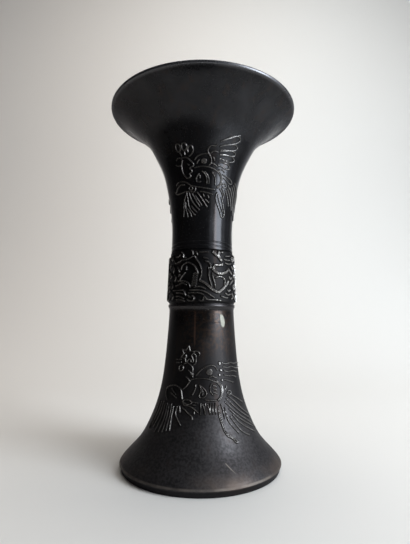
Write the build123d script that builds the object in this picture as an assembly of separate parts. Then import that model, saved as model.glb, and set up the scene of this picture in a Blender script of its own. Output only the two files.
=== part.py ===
from build123d import *
from math import cos, degrees, radians, sin
import os

# Sizes are in millimetres. The vessel stands on the XY plane, its axis is Z and its front faces -Y.
# The foot casting, the band and the mouth casting are stacked, so their heights add up.

# Foot casting, from the table to the underside of the band
FOOT_HEIGHT = 122.0
FOOT_RADIUS = 61.0
FOOT_EDGE_HEIGHT = 5.0
FOOT_EDGE_INSET = 1.5
FOOT_RIM_WIDTH = 4.0
FOOT_TOP_RADIUS = 25.5
COLLAR_HEIGHT = 4.4
COLLAR_PROUD = 1.0
COLLAR_EDGE = 1.4

# Decorated band between the two castings: its ground is just wider than the collar and the neck that it
# meets, and its scrolls stand proud of the ground
BAND_HEIGHT = 41.0
BAND_LOWER_PROUD = 0.1
BAND_UPPER_PROUD = 0.2
BAND_BEVEL = 0.5
SCROLL_WIDTH = 1.6
SCROLL_RELIEF = 1.3
SCROLL_ROOT = 0.6
SCROLL_MARGIN = 1.0

# Mouth casting, from the top of the band to the lip
MOUTH_HEIGHT = 117.8
MOUTH_RADIUS = 75.6
NECK_SEAT_RADIUS = 24.9
NECK_RADIUS = 24.4
NECK_RISE = 13.0
LIP_HEIGHT = 2.8
LIP_ROUND = 1.2

# Walls, and the soldered spigot joints inside the band
WALL = 3.0
SPIGOT_SHOULDER = 2.3
SPIGOT_WALL = 2.0
SPIGOT_GAP = 9.0
SOLDER_GAP = 0.4

# Floor of the well, a disc let into the top of the foot casting
FLOOR_RISE = 3.0
FLOOR_THICKNESS = 3.0
LEDGE_WIDTH = 2.0
FLOOR_FILLET = 2.0

# Casting plug in the wall of the foot, under the band: a lens with one side rounder than the other
PLUG_DROP = 13.0
PLUG_ANGLE = 36.0
PLUG_LENGTH = 9.8
PLUG_RIGHT_BULGE = 2.9
PLUG_LEFT_BULGE = 1.5

# Birds in raised line, each placed by the boss on its shoulder, one above the band and one below it.
# Angles grow from the front towards +X.
LINE_WIDTH = 1.5
LINE_RELIEF = 1.6
LINE_SEAM = 0.05
SKIN_FACETS = 22
UPPER_BIRD_RISE = 66.0
UPPER_BIRD_ANGLE = 1.5
UPPER_BIRD_SIZE = 1.0
LOWER_BIRD_DROP = 49.0
LOWER_BIRD_ANGLE = 11.0
LOWER_BIRD_SIZE = 1.15
BACK_TURN = 180.0
QUARTER_TURN = 90.0

# Shape of each flare: share of its height, share of its growth in radius
MOUTH_FLARE = (
    (0.14, 0.013),
    (0.37, 0.083),
    (0.53, 0.168),
    (0.67, 0.300),
    (0.79, 0.448),
    (0.89, 0.670),
    (0.95, 0.810),
)
FOOT_FLARE = (
    (0.065, 0.810),
    (0.14, 0.593),
    (0.23, 0.427),
    (0.34, 0.279),
    (0.48, 0.156),
    (0.66, 0.075),
    (0.88, 0.020),
)

# The bird, drawn flat in millimetres about the boss. A straight line has two ends, and a curved one has a
# point between them.
BOSS_RADIUS = 1.7
BODY_LINES = (
    ((-5.5, -2.8), (-1.0, 4.0), (5.2, 0.8)),
    ((-6.8, -5.4), (4.5, -4.0), (12.7, -12.5)),
    ((12.7, -12.5), (12.6, -16.5), (9.7, -18.2)),
    ((-2.6, -8.8), (-5.3, -12.8), (-2.4, -15.0)),
    ((-0.6, -8.0), (2.1, -11.0), (2.7, -16.2)),
    ((6.0, -7.8), (8.9, -12.5), (8.9, -16.8)),
    ((-11.0, -15.8), (-1.0, -18.8), (10.0, -19.6)),
    ((-9.8, -4.6), (-8.4, -8.0), (-11.0, -12.2)),
)
HEAD_LINES = (
    ((-10.3, 3.0), (-7.4, -0.4), (-7.0, -4.0)),
    ((-18.4, 2.4), (-14.4, 2.6), (-10.3, 3.0)),
    ((-19.2, -0.4), (-17.4, -1.0), (-15.6, -2.0)),
    ((-10.0, 3.4), (-5.4, 7.0), (-9.0, 10.4)),
)
UPPER_FLANK_LINES = (
    ((-24.0, -19.4), (-17.0, -14.4), (-9.0, -18.0)),
)
LOWER_FLANK_LINES = (
    ((-29.7, -12.5), (-23.2, -9.0), (-16.4, -12.6)),
    ((-15.3, -18.4), (-15.0, -31.0)),
    ((-17.6, -18.4), (-17.2, -32.5)),
    ((-20.0, -18.6), (-19.6, -34.0)),
    ((-22.4, -18.8), (-22.2, -35.4)),
    ((-24.8, -19.0), (-25.0, -36.4)),
    ((-27.0, -19.4), (-27.8, -37.0)),
    ((-29.2, -19.8), (-30.6, -37.2)),
    ((-31.2, -20.2), (-33.2, -37.4)),
)
# Fans of feathers: centre, first and last direction in degrees, start and end of each feather from the
# centre, number of feathers
CREST_FAN = ((-12.5, 5.0), 82.0, 122.0, 2.0, 7.0, 4)
WING_FAN = ((6.8, -1.6), -22.0, 50.0, 8.5, 17.0, 7)
TAIL_FAN = ((11.6, -18.8), -72.0, -18.0, 9.5, 26.0, 6)
UPPER_FLANK_FAN = ((-14.8, -20.4), -100.0, -42.0, 8.5, 18.0, 6)

# Main scrolls of the band, drawn flat from its front and its foot, in groups that stand clear of each other.
# The drawing covers half a turn and is laid on twice.
COIL_SCROLLS = (
    ((-7.0, 38.0), (-0.7, 26.0), (-1.8, 17.2)),
    ((-1.8, 17.2), (5.2, 12.0), (12.4, 8.4)),
    ((12.4, 8.4), (20.0, 12.6), (23.4, 17.0)),
    ((9.0, 29.0), (13.0, 29.2), (17.2, 29.2)),
    ((8.8, 28.4), (14.4, 22.4), (23.4, 26.6)),
    ((8.4, 22.0), (8.7, 16.6), (10.4, 11.8)),
    ((20.4, 21.4), (19.6, 15.0), (13.0, 10.2)),
    ((8.2, 38.4), (11.6, 35.8), (14.4, 32.6)),
    ((4.2, 30.6), (2.6, 23.6), (3.6, 16.8)),
    ((-9.4, 8.8), (0.2, 9.3), (9.4, 4.8)),
    ((0.0, 38.4), (6.0, 36.6), (0.6, 35.4)),
    ((11.0, 5.4), (14.8, 3.9), (18.6, 3.6)),
)
LEFT_CLOUDS = (
    ((-15.4, 39.0), (-13.2, 34.4), (-9.0, 33.6)),
    ((-20.6, 14.2), (-14.6, 16.0), (-8.8, 12.4)),
    ((-25.0, 10.0), (-17.6, 10.2), (-12.5, 6.4)),
    ((-14.0, 24.6), (-18.4, 28.2), (-21.2, 24.0)),
    ((-22.0, 16.6), (-16.0, 18.4), (-10.0, 20.4)),
    ((-10.4, 31.2), (-5.4, 28.0), (-3.4, 23.6)),
    ((-15.4, 29.4), (-18.6, 30.6), (-22.4, 29.0)),
    ((-24.2, 38.0), (-20.6, 35.0), (-24.0, 31.8)),
)
RIGHT_CLOUDS = (
    ((27.0, 38.0), (30.6, 32.6), (27.4, 28.4)),
    ((28.0, 22.4), (31.6, 25.6), (35.0, 22.4)),
    ((29.0, 17.6), (34.0, 14.8), (30.0, 10.0)),
    ((27.4, 5.0), (31.0, 3.8), (35.6, 4.8)),
    ((34.6, 36.6), (38.6, 33.0), (35.4, 29.0)),
    ((36.8, 19.0), (40.0, 14.0), (37.2, 9.0)),
)
FAR_CLOUDS = (
    ((-29.6, 38.6), (-27.8, 32.0), (-30.6, 27.0)),
    ((-29.0, 16.6), (-33.4, 12.6), (-29.4, 8.8)),
    ((-29.0, 6.0), (-32.0, 4.2), (-36.0, 4.0)),
    ((-33.0, 23.6), (-36.4, 27.8), (-39.6, 24.0)),
    ((-33.6, 36.4), (-36.8, 32.2), (-39.8, 36.0)),
    ((-35.4, 17.6), (-39.4, 13.6), (-36.0, 9.4)),
)

BAND_TOP = FOOT_HEIGHT + BAND_HEIGHT
TOP = BAND_TOP + MOUTH_HEIGHT
SPIGOT_LENGTH = (BAND_HEIGHT - SPIGOT_GAP) / 2
SPIGOT_RADIUS = NECK_SEAT_RADIUS - SPIGOT_SHOULDER
SPIGOT_BORE = SPIGOT_RADIUS - SPIGOT_WALL
BAND_BORE = SPIGOT_RADIUS + SOLDER_GAP
COLLAR_RADIUS = FOOT_TOP_RADIUS + COLLAR_PROUD
BAND_LOWER_RADIUS = COLLAR_RADIUS + BAND_LOWER_PROUD
BAND_UPPER_RADIUS = NECK_SEAT_RADIUS + BAND_UPPER_PROUD
PLUG_HEIGHT = FOOT_HEIGHT - PLUG_DROP
FLOOR_BASE = FOOT_HEIGHT + FLOOR_RISE
FLOOR_TOP = FLOOR_BASE + FLOOR_THICKNESS
FLOOR_RADIUS = SPIGOT_BORE - SOLDER_GAP


def flare(slim, wide, base, top, shape):
    """Stations (radius, height) of a flared wall between its base and its top."""
    return [(slim + growth * (wide - slim), base + rise * (top - base)) for rise, growth in shape]


def foot_outline():
    collar_base = FOOT_HEIGHT - COLLAR_HEIGHT
    inner = flare(FOOT_TOP_RADIUS, FOOT_RADIUS, FOOT_EDGE_HEIGHT, collar_base, FOOT_FLARE)
    return [(FOOT_RADIUS, FOOT_EDGE_HEIGHT), *inner, (FOOT_TOP_RADIUS, collar_base)]


def mouth_outline():
    neck = BAND_TOP + NECK_RISE
    lip_base = TOP - LIP_HEIGHT
    lip_radius = MOUTH_RADIUS - LIP_ROUND
    inner = flare(NECK_RADIUS, lip_radius, neck, lip_base, MOUTH_FLARE)
    return [(NECK_SEAT_RADIUS, BAND_TOP), (NECK_RADIUS, neck), *inner, (lip_radius, lip_base)]


def beside(stations, distance):
    """The stations moved square to their curve, outwards for a positive distance."""
    curve = Spline(*stations)
    moved = []
    for radius, height in stations:
        along = curve.tangent_at(curve.param_at_point((radius, height)))
        moved.append((radius + distance * along.Y, height - distance * along.X))
    return moved


def turned(edges):
    """Solid turned about the vessel's axis from a section drawn as radius and height."""
    return revolve(Plane.XZ * make_face(edges), Axis.Z)


def turned_polygon(*corners):
    return turned(Polyline(*corners, close=True).edges())


def ring(inner_radius, outer_radius, base, top):
    inner = [(inner_radius, top), (inner_radius, base)]
    outer = [(outer_radius, base), (outer_radius, top)]
    return turned_polygon(*inner, *outer)


def facing_plane(angle):
    """Upright plane through the axis that faces outwards at an angle from the front."""
    turn = radians(angle)
    return Plane((0, 0, 0), x_dir=(cos(turn), sin(turn), 0), z_dir=(sin(turn), -cos(turn), 0))


def foot_casting():
    outside = foot_outline()
    inside = beside(outside, -WALL)[1:]
    ledge_radius = SPIGOT_BORE - LEDGE_WIDTH
    slope_top = inside[-1][1] + inside[-1][0] - ledge_radius
    spigot_top = FOOT_HEIGHT + SPIGOT_LENGTH
    rim_radius = FOOT_RADIUS - FOOT_EDGE_INSET
    rim = Polyline(inside[0], (rim_radius - FOOT_RIM_WIDTH, 0), (rim_radius, 0), outside[0])
    spigot = Polyline(
        outside[-1],
        (COLLAR_RADIUS, FOOT_HEIGHT - COLLAR_EDGE),
        (COLLAR_RADIUS, FOOT_HEIGHT),
        (SPIGOT_RADIUS, FOOT_HEIGHT),
        (SPIGOT_RADIUS, spigot_top),
        (SPIGOT_BORE, spigot_top),
        (SPIGOT_BORE, FLOOR_BASE),
        (ledge_radius, FLOOR_BASE),
        (ledge_radius, slope_top),
        inside[-1],
    )
    return turned([*rim.edges(), Spline(*outside), *spigot.edges(), Spline(*inside)])


def mouth_casting():
    outside = mouth_outline()
    inside = beside(outside, -WALL)[1:-1]
    spigot_base = BAND_TOP - SPIGOT_LENGTH
    round_centre = MOUTH_RADIUS - LIP_ROUND
    low_level = TOP - LIP_HEIGHT + LIP_ROUND
    high_level = TOP - LIP_ROUND
    lip = [
        CenterArc((round_centre, low_level), LIP_ROUND, -90, 90),
        Line((MOUTH_RADIUS, low_level), (MOUTH_RADIUS, high_level)),
        CenterArc((round_centre, high_level), LIP_ROUND, 0, 90),
        Line((round_centre, TOP), inside[-1]),
    ]
    spigot = Polyline(
        inside[0],
        (SPIGOT_BORE, BAND_TOP),
        (SPIGOT_BORE, spigot_base),
        (SPIGOT_RADIUS, spigot_base),
        (SPIGOT_RADIUS, BAND_TOP),
        outside[0],
    )
    return turned([Spline(*outside), *lip, Spline(*inside), *spigot.edges()])


def band_radius(level):
    """Radius of the band's ground, which tapers evenly upwards."""
    share = (level - FOOT_HEIGHT) / BAND_HEIGHT
    return BAND_LOWER_RADIUS + share * (BAND_UPPER_RADIUS - BAND_LOWER_RADIUS)


def band_casting():
    """Sleeve with its scrolls, which root in the sleeve and stop short of its two ends."""
    sleeve = turned_polygon(
        (BAND_BORE, FOOT_HEIGHT),
        (BAND_LOWER_RADIUS - BAND_BEVEL, FOOT_HEIGHT),
        (band_radius(FOOT_HEIGHT + BAND_BEVEL), FOOT_HEIGHT + BAND_BEVEL),
        (band_radius(BAND_TOP - BAND_BEVEL), BAND_TOP - BAND_BEVEL),
        (BAND_UPPER_RADIUS - BAND_BEVEL, BAND_TOP),
        (BAND_BORE, BAND_TOP),
    )
    low = FOOT_HEIGHT + SCROLL_MARGIN
    high = BAND_TOP - SCROLL_MARGIN
    skin = Rot(0, 0, QUARTER_TURN) * turned_polygon(
        (band_radius(low) - SCROLL_ROOT, low),
        (band_radius(low) + SCROLL_RELIEF, low),
        (band_radius(high) + SCROLL_RELIEF, high),
        (band_radius(high) - SCROLL_ROOT, high),
    )
    groups = [COIL_SCROLLS, LEFT_CLOUDS, RIGHT_CLOUDS, FAR_CLOUDS]
    front = raised_groups(groups, skin, band_radius, 0, FOOT_HEIGHT, 1, SCROLL_WIDTH)
    back = [half_turn(solid) for solid in front]
    return sleeve.fuse(*front, *back)


def floor_seam():
    """Solder that fills the gap round the floor and rises against the wall of the well."""
    return turned_polygon(
        (FLOOR_RADIUS, FLOOR_BASE),
        (SPIGOT_BORE, FLOOR_BASE),
        (SPIGOT_BORE, FLOOR_TOP + FLOOR_FILLET),
        (SPIGOT_BORE - FLOOR_FILLET, FLOOR_TOP),
        (FLOOR_RADIUS, FLOOR_TOP),
    )


def plug_bar():
    """Bar with the plug's outline, from the axis out through the wall."""
    low = (0, PLUG_HEIGHT - PLUG_LENGTH / 2)
    high = (0, PLUG_HEIGHT + PLUG_LENGTH / 2)
    right = ThreePointArc(low, (PLUG_RIGHT_BULGE, PLUG_HEIGHT), high)
    left = ThreePointArc(high, (-PLUG_LEFT_BULGE, PLUG_HEIGHT), low)
    return extrude(facing_plane(PLUG_ANGLE) * make_face([right, left]), FOOT_RADIUS)


def wall_radius(outline, height):
    """Radius of the wall at a height, read between the stations of its outline."""
    for low, high in zip(outline, outline[1:]):
        if height <= high[1]:
            break
    share = (height - low[1]) / (high[1] - low[1])
    return low[0] + share * (high[0] - low[0])


def facets(outline, distance):
    """Points along the curve of a wall, moved square to it, so close that straight lines can follow it."""
    curve = Spline(*outline)
    count = round(SKIN_FACETS)
    moved = []
    for number in range(count + 1):
        place = curve.position_at(number / count)
        along = curve.tangent_at(number / count)
        moved.append((place.X + distance * along.Y, place.Y - distance * along.X))
    return moved


def feathers(fan):
    """Straight lines that spread from the centre of a fan."""
    (centre_x, centre_y), first, last, start, end, count = fan
    lines = []
    for number in range(round(count)):
        turn = radians(first + (last - first) * number / (count - 1))
        lines.append([(centre_x + reach * cos(turn), centre_y + reach * sin(turn)) for reach in (start, end)])
    return lines


def raised_groups(groups, skin, radius_at, angle, height, size, width):
    """Solids of drawn lines: each group is cut from an upright plane that faces its middle to the skin."""
    degrees_per_mm = degrees(size / radius_at(height))
    solids = []
    for lines in groups:
        places = [x for line in lines for x, y in line]
        facing = degrees_per_mm * (min(places) + max(places)) / 2
        shapes = []
        for line in lines:
            flat = []
            for x, y in line:
                level = height + y * size
                across = radius_at(level) * sin(radians(x * degrees_per_mm - facing))
                flat.append((across, level))
            path = Line(*flat) if len(flat) == 2 else ThreePointArc(*flat)
            shapes.append(SlotArc(path, width))
        sketch = shapes[0].fuse(*shapes[1:])
        solids += (extrude(facing_plane(angle + facing) * sketch, MOUTH_RADIUS) & skin).solids()
    return solids


def bird(outline, angle, height, size, flank):
    """Raised lines of one bird on a skin that lies on the wall and starts its turn behind the vessel."""
    section = [*facets(outline, LINE_SEAM), *reversed(facets(outline, LINE_RELIEF))]
    skin = Rot(0, 0, QUARTER_TURN + angle) * turned_polygon(*section)
    boss = Pos(0, height) * Circle(BOSS_RADIUS * size)
    solids = (extrude(facing_plane(angle) * boss, MOUTH_RADIUS) & skin).solids()
    head = [*HEAD_LINES, *feathers(CREST_FAN)]
    groups = [BODY_LINES, head, flank, feathers(WING_FAN), feathers(TAIL_FAN)]

    def radius_at(level):
        return wall_radius(outline, level)

    solids += raised_groups(groups, skin, radius_at, angle, height, size, LINE_WIDTH)
    return Compound(solids)


def half_turn(shape):
    return Rot(0, 0, BACK_TURN) * shape


plug = plug_bar()
foot = foot_casting()
upper_height = BAND_TOP + UPPER_BIRD_RISE
upper_flank = [*UPPER_FLANK_LINES, *feathers(UPPER_FLANK_FAN)]
upper_bird = bird(mouth_outline(), UPPER_BIRD_ANGLE, upper_height, UPPER_BIRD_SIZE, upper_flank)
lower_height = FOOT_HEIGHT - LOWER_BIRD_DROP
lower_bird = bird(foot_outline(), LOWER_BIRD_ANGLE, lower_height, LOWER_BIRD_SIZE, LOWER_FLANK_LINES)

nodes = {
    "foot_trumpet": foot - plug,
    "core_plug": foot & plug,
    "central_band": band_casting(),
    "mouth_trumpet": mouth_casting(),
    "lower_joint_solder": ring(SPIGOT_RADIUS, BAND_BORE, FOOT_HEIGHT, FOOT_HEIGHT + SPIGOT_LENGTH),
    "upper_joint_solder": ring(SPIGOT_RADIUS, BAND_BORE, BAND_TOP - SPIGOT_LENGTH, BAND_TOP),
    "floor_plate": Pos(0, 0, FLOOR_BASE) * extrude(Circle(FLOOR_RADIUS), FLOOR_THICKNESS),
    "floor_solder": floor_seam(),
    "upper_phoenix_front": upper_bird,
    "upper_phoenix_back": half_turn(upper_bird),
    "lower_phoenix_front": lower_bird,
    "lower_phoenix_back": half_turn(lower_bird),
}

os.makedirs("parts", exist_ok=True)
for name, shape in nodes.items():
    export_step(shape, f"parts/{name}.step")
    print(name, round(shape.volume / 1000, 2), "cm3")
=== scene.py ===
# %% [markdown]
# A tall bronze vase in the gu shape: a flared mouth, a slim middle with a cast band, and a flared foot.
# The solids of the vase are already in place, so this lesson dresses them: it turns fine walls on the
# solids' own curves, lays the raised birds and scrolls on those walls, and gives each metal its patina.

# %% The vase's solids
import math

import bpy
import numpy as np
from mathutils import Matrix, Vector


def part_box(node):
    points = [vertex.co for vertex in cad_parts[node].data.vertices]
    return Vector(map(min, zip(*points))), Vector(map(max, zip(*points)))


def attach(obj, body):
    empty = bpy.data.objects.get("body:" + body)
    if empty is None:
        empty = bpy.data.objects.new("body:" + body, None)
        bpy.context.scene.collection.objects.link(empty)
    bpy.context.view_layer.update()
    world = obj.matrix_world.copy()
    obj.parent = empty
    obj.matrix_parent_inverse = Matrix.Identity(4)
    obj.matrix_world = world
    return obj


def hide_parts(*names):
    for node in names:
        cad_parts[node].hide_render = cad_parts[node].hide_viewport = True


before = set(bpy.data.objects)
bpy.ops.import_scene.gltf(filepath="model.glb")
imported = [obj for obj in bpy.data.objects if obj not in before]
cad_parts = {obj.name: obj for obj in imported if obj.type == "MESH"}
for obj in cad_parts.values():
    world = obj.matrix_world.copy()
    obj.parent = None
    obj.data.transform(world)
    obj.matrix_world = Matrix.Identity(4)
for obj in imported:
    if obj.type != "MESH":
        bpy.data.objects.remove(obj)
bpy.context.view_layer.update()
MM = 0.001
print("pieces in the frame:", sorted(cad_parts))

# %% [markdown]
# Node trees can be long to write, because each sum is a node and each link a line. A small class that
# holds a socket and knows how to add and multiply makes a tree read like ordinary arithmetic. The same
# class serves the shapes and the finishes, since both kinds of tree share their maths nodes.

# %% Sockets that take part in sums
class Wire:
    """An output of a node, which can be added to, multiplied and linked on."""

    def __init__(self, nodes, socket):
        self.nodes = nodes
        self.socket = socket

    def out(self, name):
        """Another output of the same node."""
        return Wire(self.nodes, self.socket.node.outputs[name])

    def math(self, operation, first, second=0.0):
        return self.nodes.make("ShaderNodeMath", {"operation": operation}, {0: first, 1: second})

    def __add__(self, other):
        return self.math("ADD", self, other)

    def __radd__(self, other):
        return self.math("ADD", other, self)

    def __sub__(self, other):
        return self.math("SUBTRACT", self, other)

    def __rsub__(self, other):
        return self.math("SUBTRACT", other, self)

    def __mul__(self, other):
        return self.math("MULTIPLY", self, other)

    def __rmul__(self, other):
        return self.math("MULTIPLY", other, self)

    def __truediv__(self, other):
        return self.math("DIVIDE", self, other)

    def __rtruediv__(self, other):
        return self.math("DIVIDE", other, self)

    def __abs__(self):
        return self.math("ABSOLUTE", self)


class Nodes:
    """A node tree under construction."""

    def __init__(self, tree):
        self.tree = tree

    def make(self, kind, settings=None, inputs=None, output=0):
        """Adds a node of any kind: its settings first, then the values or links of its sockets."""
        node = self.tree.nodes.new(kind)
        for name, value in (settings or {}).items():
            setattr(node, name, value)
        for key, value in (inputs or {}).items():
            for part in value if isinstance(value, list) else [value]:
                if isinstance(part, Wire):
                    self.tree.links.new(part.socket, node.inputs[key])
                else:
                    node.inputs[key].default_value = part
        return Wire(self, node.outputs[output]) if len(node.outputs) else None

    def scaled(self, vector, factor):
        return self.make("ShaderNodeVectorMath", {"operation": "SCALE"}, {0: vector, "Scale": factor})

    def above(self, value, limit):
        return value.math("GREATER_THAN", value, limit)

    def ramp(self, value, low, high, start=0.0, end=1.0):
        """A soft step from start to end, as the value goes from low to high."""
        places = {"Value": value, "From Min": low, "From Max": high, "To Min": start, "To Max": end}
        return self.make("ShaderNodeMapRange", {"interpolation_type": "SMOOTHSTEP"}, places)


print("sums of sockets are ready")

# %% [markdown]
# The walls of the vase are surfaces of revolution. Their curves are not drawn again here: the corner
# points of the solids lie exactly on the true curve, so a few of them, a few millimetres apart, carry a
# smooth cubic line. A smooth line matters on polished metal, since a bent one shows in every reflection.

# %% Smooth curves through given points
def smooth_through(points, spacing):
    """Points along the natural cubic curve through the given ones, about a spacing apart."""
    points = np.asarray(points, float)
    steps = np.linalg.norm(np.diff(points, axis=0), axis=1)
    knots = np.concatenate([[0.0], np.cumsum(steps)])
    system = np.eye(len(points))
    pull = np.zeros_like(points)
    for i in range(1, len(points) - 1):
        system[i, i - 1:i + 2] = steps[i - 1], 2 * (steps[i - 1] + steps[i]), steps[i]
        after = (points[i + 1] - points[i]) / steps[i]
        before = (points[i] - points[i - 1]) / steps[i - 1]
        pull[i] = 6 * (after - before)
    bend = np.linalg.solve(system, pull)
    places = np.linspace(0, knots[-1], max(3, int(knots[-1] / spacing) + 1))
    span = np.clip(np.searchsorted(knots, places, side="right") - 1, 0, len(steps) - 1)
    width = steps[span][:, None]
    left = (knots[span + 1] - places)[:, None] / width
    right = 1 - left
    curve = (left ** 3 - left) * bend[span] + (right ** 3 - right) * bend[span + 1]
    return left * points[span] + right * points[span + 1] + curve * width ** 2 / 6


LEVEL_FACE = 0.02
STATION_GAP = 6.0


def wall_curve(node, outer, low, high, spacing):
    """Radius and height in mm along one side of a turned wall, read from the corners of its solid."""
    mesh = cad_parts[node].data
    seen = {}
    for face in mesh.polygons:
        around = math.hypot(face.center.x, face.center.y)
        facing = (face.normal.x * face.center.x + face.normal.y * face.center.y) / around
        if abs(facing) < LEVEL_FACE or (facing > LEVEL_FACE) != outer:
            continue
        for index in face.vertices:
            place = mesh.vertices[index].co / MM
            if low <= place.z <= high:
                seen.setdefault(round(place.z, 2), []).append(math.hypot(place.x, place.y))
    rows = sorted((z, max(radii) if outer else min(radii)) for z, radii in seen.items())
    stations = [(rows[0][1], rows[0][0])]
    for z, radius in rows[1:-1]:
        clear = math.hypot(radius - stations[-1][0], z - stations[-1][1])
        left = math.hypot(radius - rows[-1][1], z - rows[-1][0])
        if clear >= STATION_GAP and left >= STATION_GAP / 2:
            stations.append((radius, z))
    stations.append((rows[-1][1], rows[-1][0]))
    return smooth_through(stations, spacing)


mouth_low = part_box("central_band")[1][2] / MM
mouth_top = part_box("mouth_trumpet")[1][2] / MM
mouth_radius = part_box("mouth_trumpet")[1][0] / MM
band_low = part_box("central_band")[0][2] / MM
print("band from", round(band_low, 1), "to", round(mouth_low, 1), "mm, lip at", round(mouth_top, 1))

# %% [markdown]
# A shape that follows a rule is made by a tree of geometry nodes. Every tree here starts with named inputs
# and ends in the same way: smooth faces, crisp corners, one mesh and one material.

# %% Trees with named inputs
GN_TREES = {}
CORNER_ANGLE = math.radians(38)


def shape_tree(name, inputs):
    """A new geometry tree with named inputs. Returns its nodes and a wire for each input."""
    tree = bpy.data.node_groups.new(name, "GeometryNodeTree")
    tree.interface.new_socket("Geometry", in_out="INPUT", socket_type="NodeSocketGeometry")
    for title, kind in inputs:
        tree.interface.new_socket(title, in_out="INPUT", socket_type=kind)
    tree.interface.new_socket("Geometry", in_out="OUTPUT", socket_type="NodeSocketGeometry")
    nodes = Nodes(tree)
    source = tree.nodes.new("NodeGroupInput")
    GN_TREES[name] = tree
    return nodes, {socket.name: Wire(nodes, socket) for socket in source.outputs if socket.name}


def finish_tree(nodes, geometry, material):
    """Ends a tree: smooth faces, sharp corners, one mesh, one material."""
    angle = nodes.make("GeometryNodeInputMeshEdgeAngle")
    smooth = nodes.make("GeometryNodeSetShadeSmooth", None, {"Geometry": geometry, "Shade Smooth": True})
    corner = nodes.above(angle, CORNER_ANGLE)
    crisp = nodes.make("GeometryNodeSetShadeSmooth", {"domain": "EDGE"},
                       {"Geometry": smooth, "Selection": corner, "Shade Smooth": False})
    whole = nodes.make("GeometryNodeRealizeInstances", None, {"Geometry": crisp})
    done = nodes.make("GeometryNodeSetMaterial", None, {"Geometry": whole, "Material": material})
    nodes.make("NodeGroupOutput", None, {"Geometry": done})


print("corners stay crisp from", round(math.degrees(CORNER_ANGLE)), "degrees")

# %% [markdown]
# A lathe is a rule: each point of the section goes once round the axis. A plain spin in mesh code would do,
# but as a node tree the same lathe serves the mouth, the band and the foot, and its number of steps stays
# a named input. The tree lays a grid, one row for each point of the section, bends it into a ring and closes
# both seams.

# %% A lathe as a node tree
TINY = 2e-6


def lathe_tree():
    nodes, given = shape_tree("lathe", [("Steps", "NodeSocketInt"), ("Material", "NodeSocketMaterial")])
    section = given["Geometry"]
    count = nodes.make("GeometryNodeAttributeDomainSize", {"component": "MESH"}, {"Geometry": section})
    sizes = {"Size X": 1.0, "Size Y": 1.0, "Vertices X": given["Steps"] + 1, "Vertices Y": count + 1}
    grid = nodes.make("GeometryNodeMeshGrid", None, sizes)
    place = nodes.make("ShaderNodeSeparateXYZ", None, {0: nodes.make("GeometryNodeInputPosition")})
    turn = (place.out("X") + 0.5) * math.tau
    row = place.math("ROUND", (place.out("Y") + 0.5) * count)
    row = row.math("MODULO", row, count)
    point = nodes.make("GeometryNodeSampleIndex", {"data_type": "FLOAT_VECTOR"},
                       {"Geometry": section, "Value": nodes.make("GeometryNodeInputPosition"), "Index": row})
    around = nodes.make("ShaderNodeVectorRotate", {"rotation_type": "Z_AXIS"},
                        {"Vector": point, "Angle": turn})
    bent = nodes.make("GeometryNodeSetPosition", None, {"Geometry": grid, "Position": around})
    closed = nodes.make("GeometryNodeMergeByDistance", None, {"Geometry": bent, "Distance": TINY})
    finish_tree(nodes, closed, given["Material"])


lathe_tree()
print("the lathe has", len(GN_TREES["lathe"].nodes), "nodes")

# %% [markdown]
# A tree works on an object. So a piece starts as a few bare points, runs its tree and keeps the result as a
# plain mesh. A sum over its faces gives its volume, and where that comes out negative the faces point
# inwards and are turned round.

# %% Pieces from trees
def piece_from(name, points, edges):
    """A new object from points in metres and the edges between them."""
    mesh = bpy.data.meshes.new(name)
    mesh.from_pydata([tuple(map(float, point)) for point in points], edges, [])
    piece = bpy.data.objects.new(name, mesh)
    bpy.context.scene.collection.objects.link(piece)
    return piece


def run_tree(piece, name, **values):
    """Runs a tree on a piece, keeps the result as its plain mesh and takes the modifier off again."""
    change = piece.modifiers.new(name, "NODES")
    change.node_group = GN_TREES[name]
    for socket in GN_TREES[name].interface.items_tree:
        if socket.in_out == "INPUT" and socket.name in values:
            change[socket.identifier] = values[socket.name]
    bpy.context.view_layer.update()
    result = piece.evaluated_get(bpy.context.evaluated_depsgraph_get())
    mesh = bpy.data.meshes.new_from_object(result)
    piece.modifiers.clear()
    piece.data = mesh
    mesh.name = piece.name
    volume = sum(face.center.dot(face.normal) * face.area for face in mesh.polygons)
    if volume < 0:
        mesh.flip_normals()
    print(piece.name, "has", sum(len(face.vertices) - 2 for face in mesh.polygons), "triangles")
    return piece


def closed_loop(count):
    return [(i, (i + 1) % count) for i in range(count)]


print("a closed loop of three points:", closed_loop(3))

# %% [markdown]
# The raised lines of the birds stand about a millimetre proud of the wall, with rounded backs, like cord
# laid on the surface and cast with it. Sweeping a round wire along each line would leave hard crossings.
# Here a fine patch of the wall itself is lifted instead: nodes measure how far each point is from the
# nearest drawn line, keep the part close to one, raise it, and close it underneath inside the wall.

# %% Raised lines as a node tree
FAR_OUT = 0.3
PATCH_DEPTH = 0.5 * MM
LINE_FOOT = 0.16 * MM
FLAT_SHARE = 0.12
EDGE_CELLS = 1.5


def lift_of(nodes, drawing, half_width, height):
    """How far a point of the wall rises: a round back over each drawn line, nothing beyond its edge."""
    lines = nodes.make("GeometryNodeObjectInfo", None, {"Object": drawing}, "Geometry")
    near = nodes.make("GeometryNodeProximity", {"target_element": "EDGES"}, {0: lines}, "Distance")
    round_back = nodes.ramp(near / half_width, 1.0, FLAT_SHARE)
    return near, round_back, round_back * height


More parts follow.
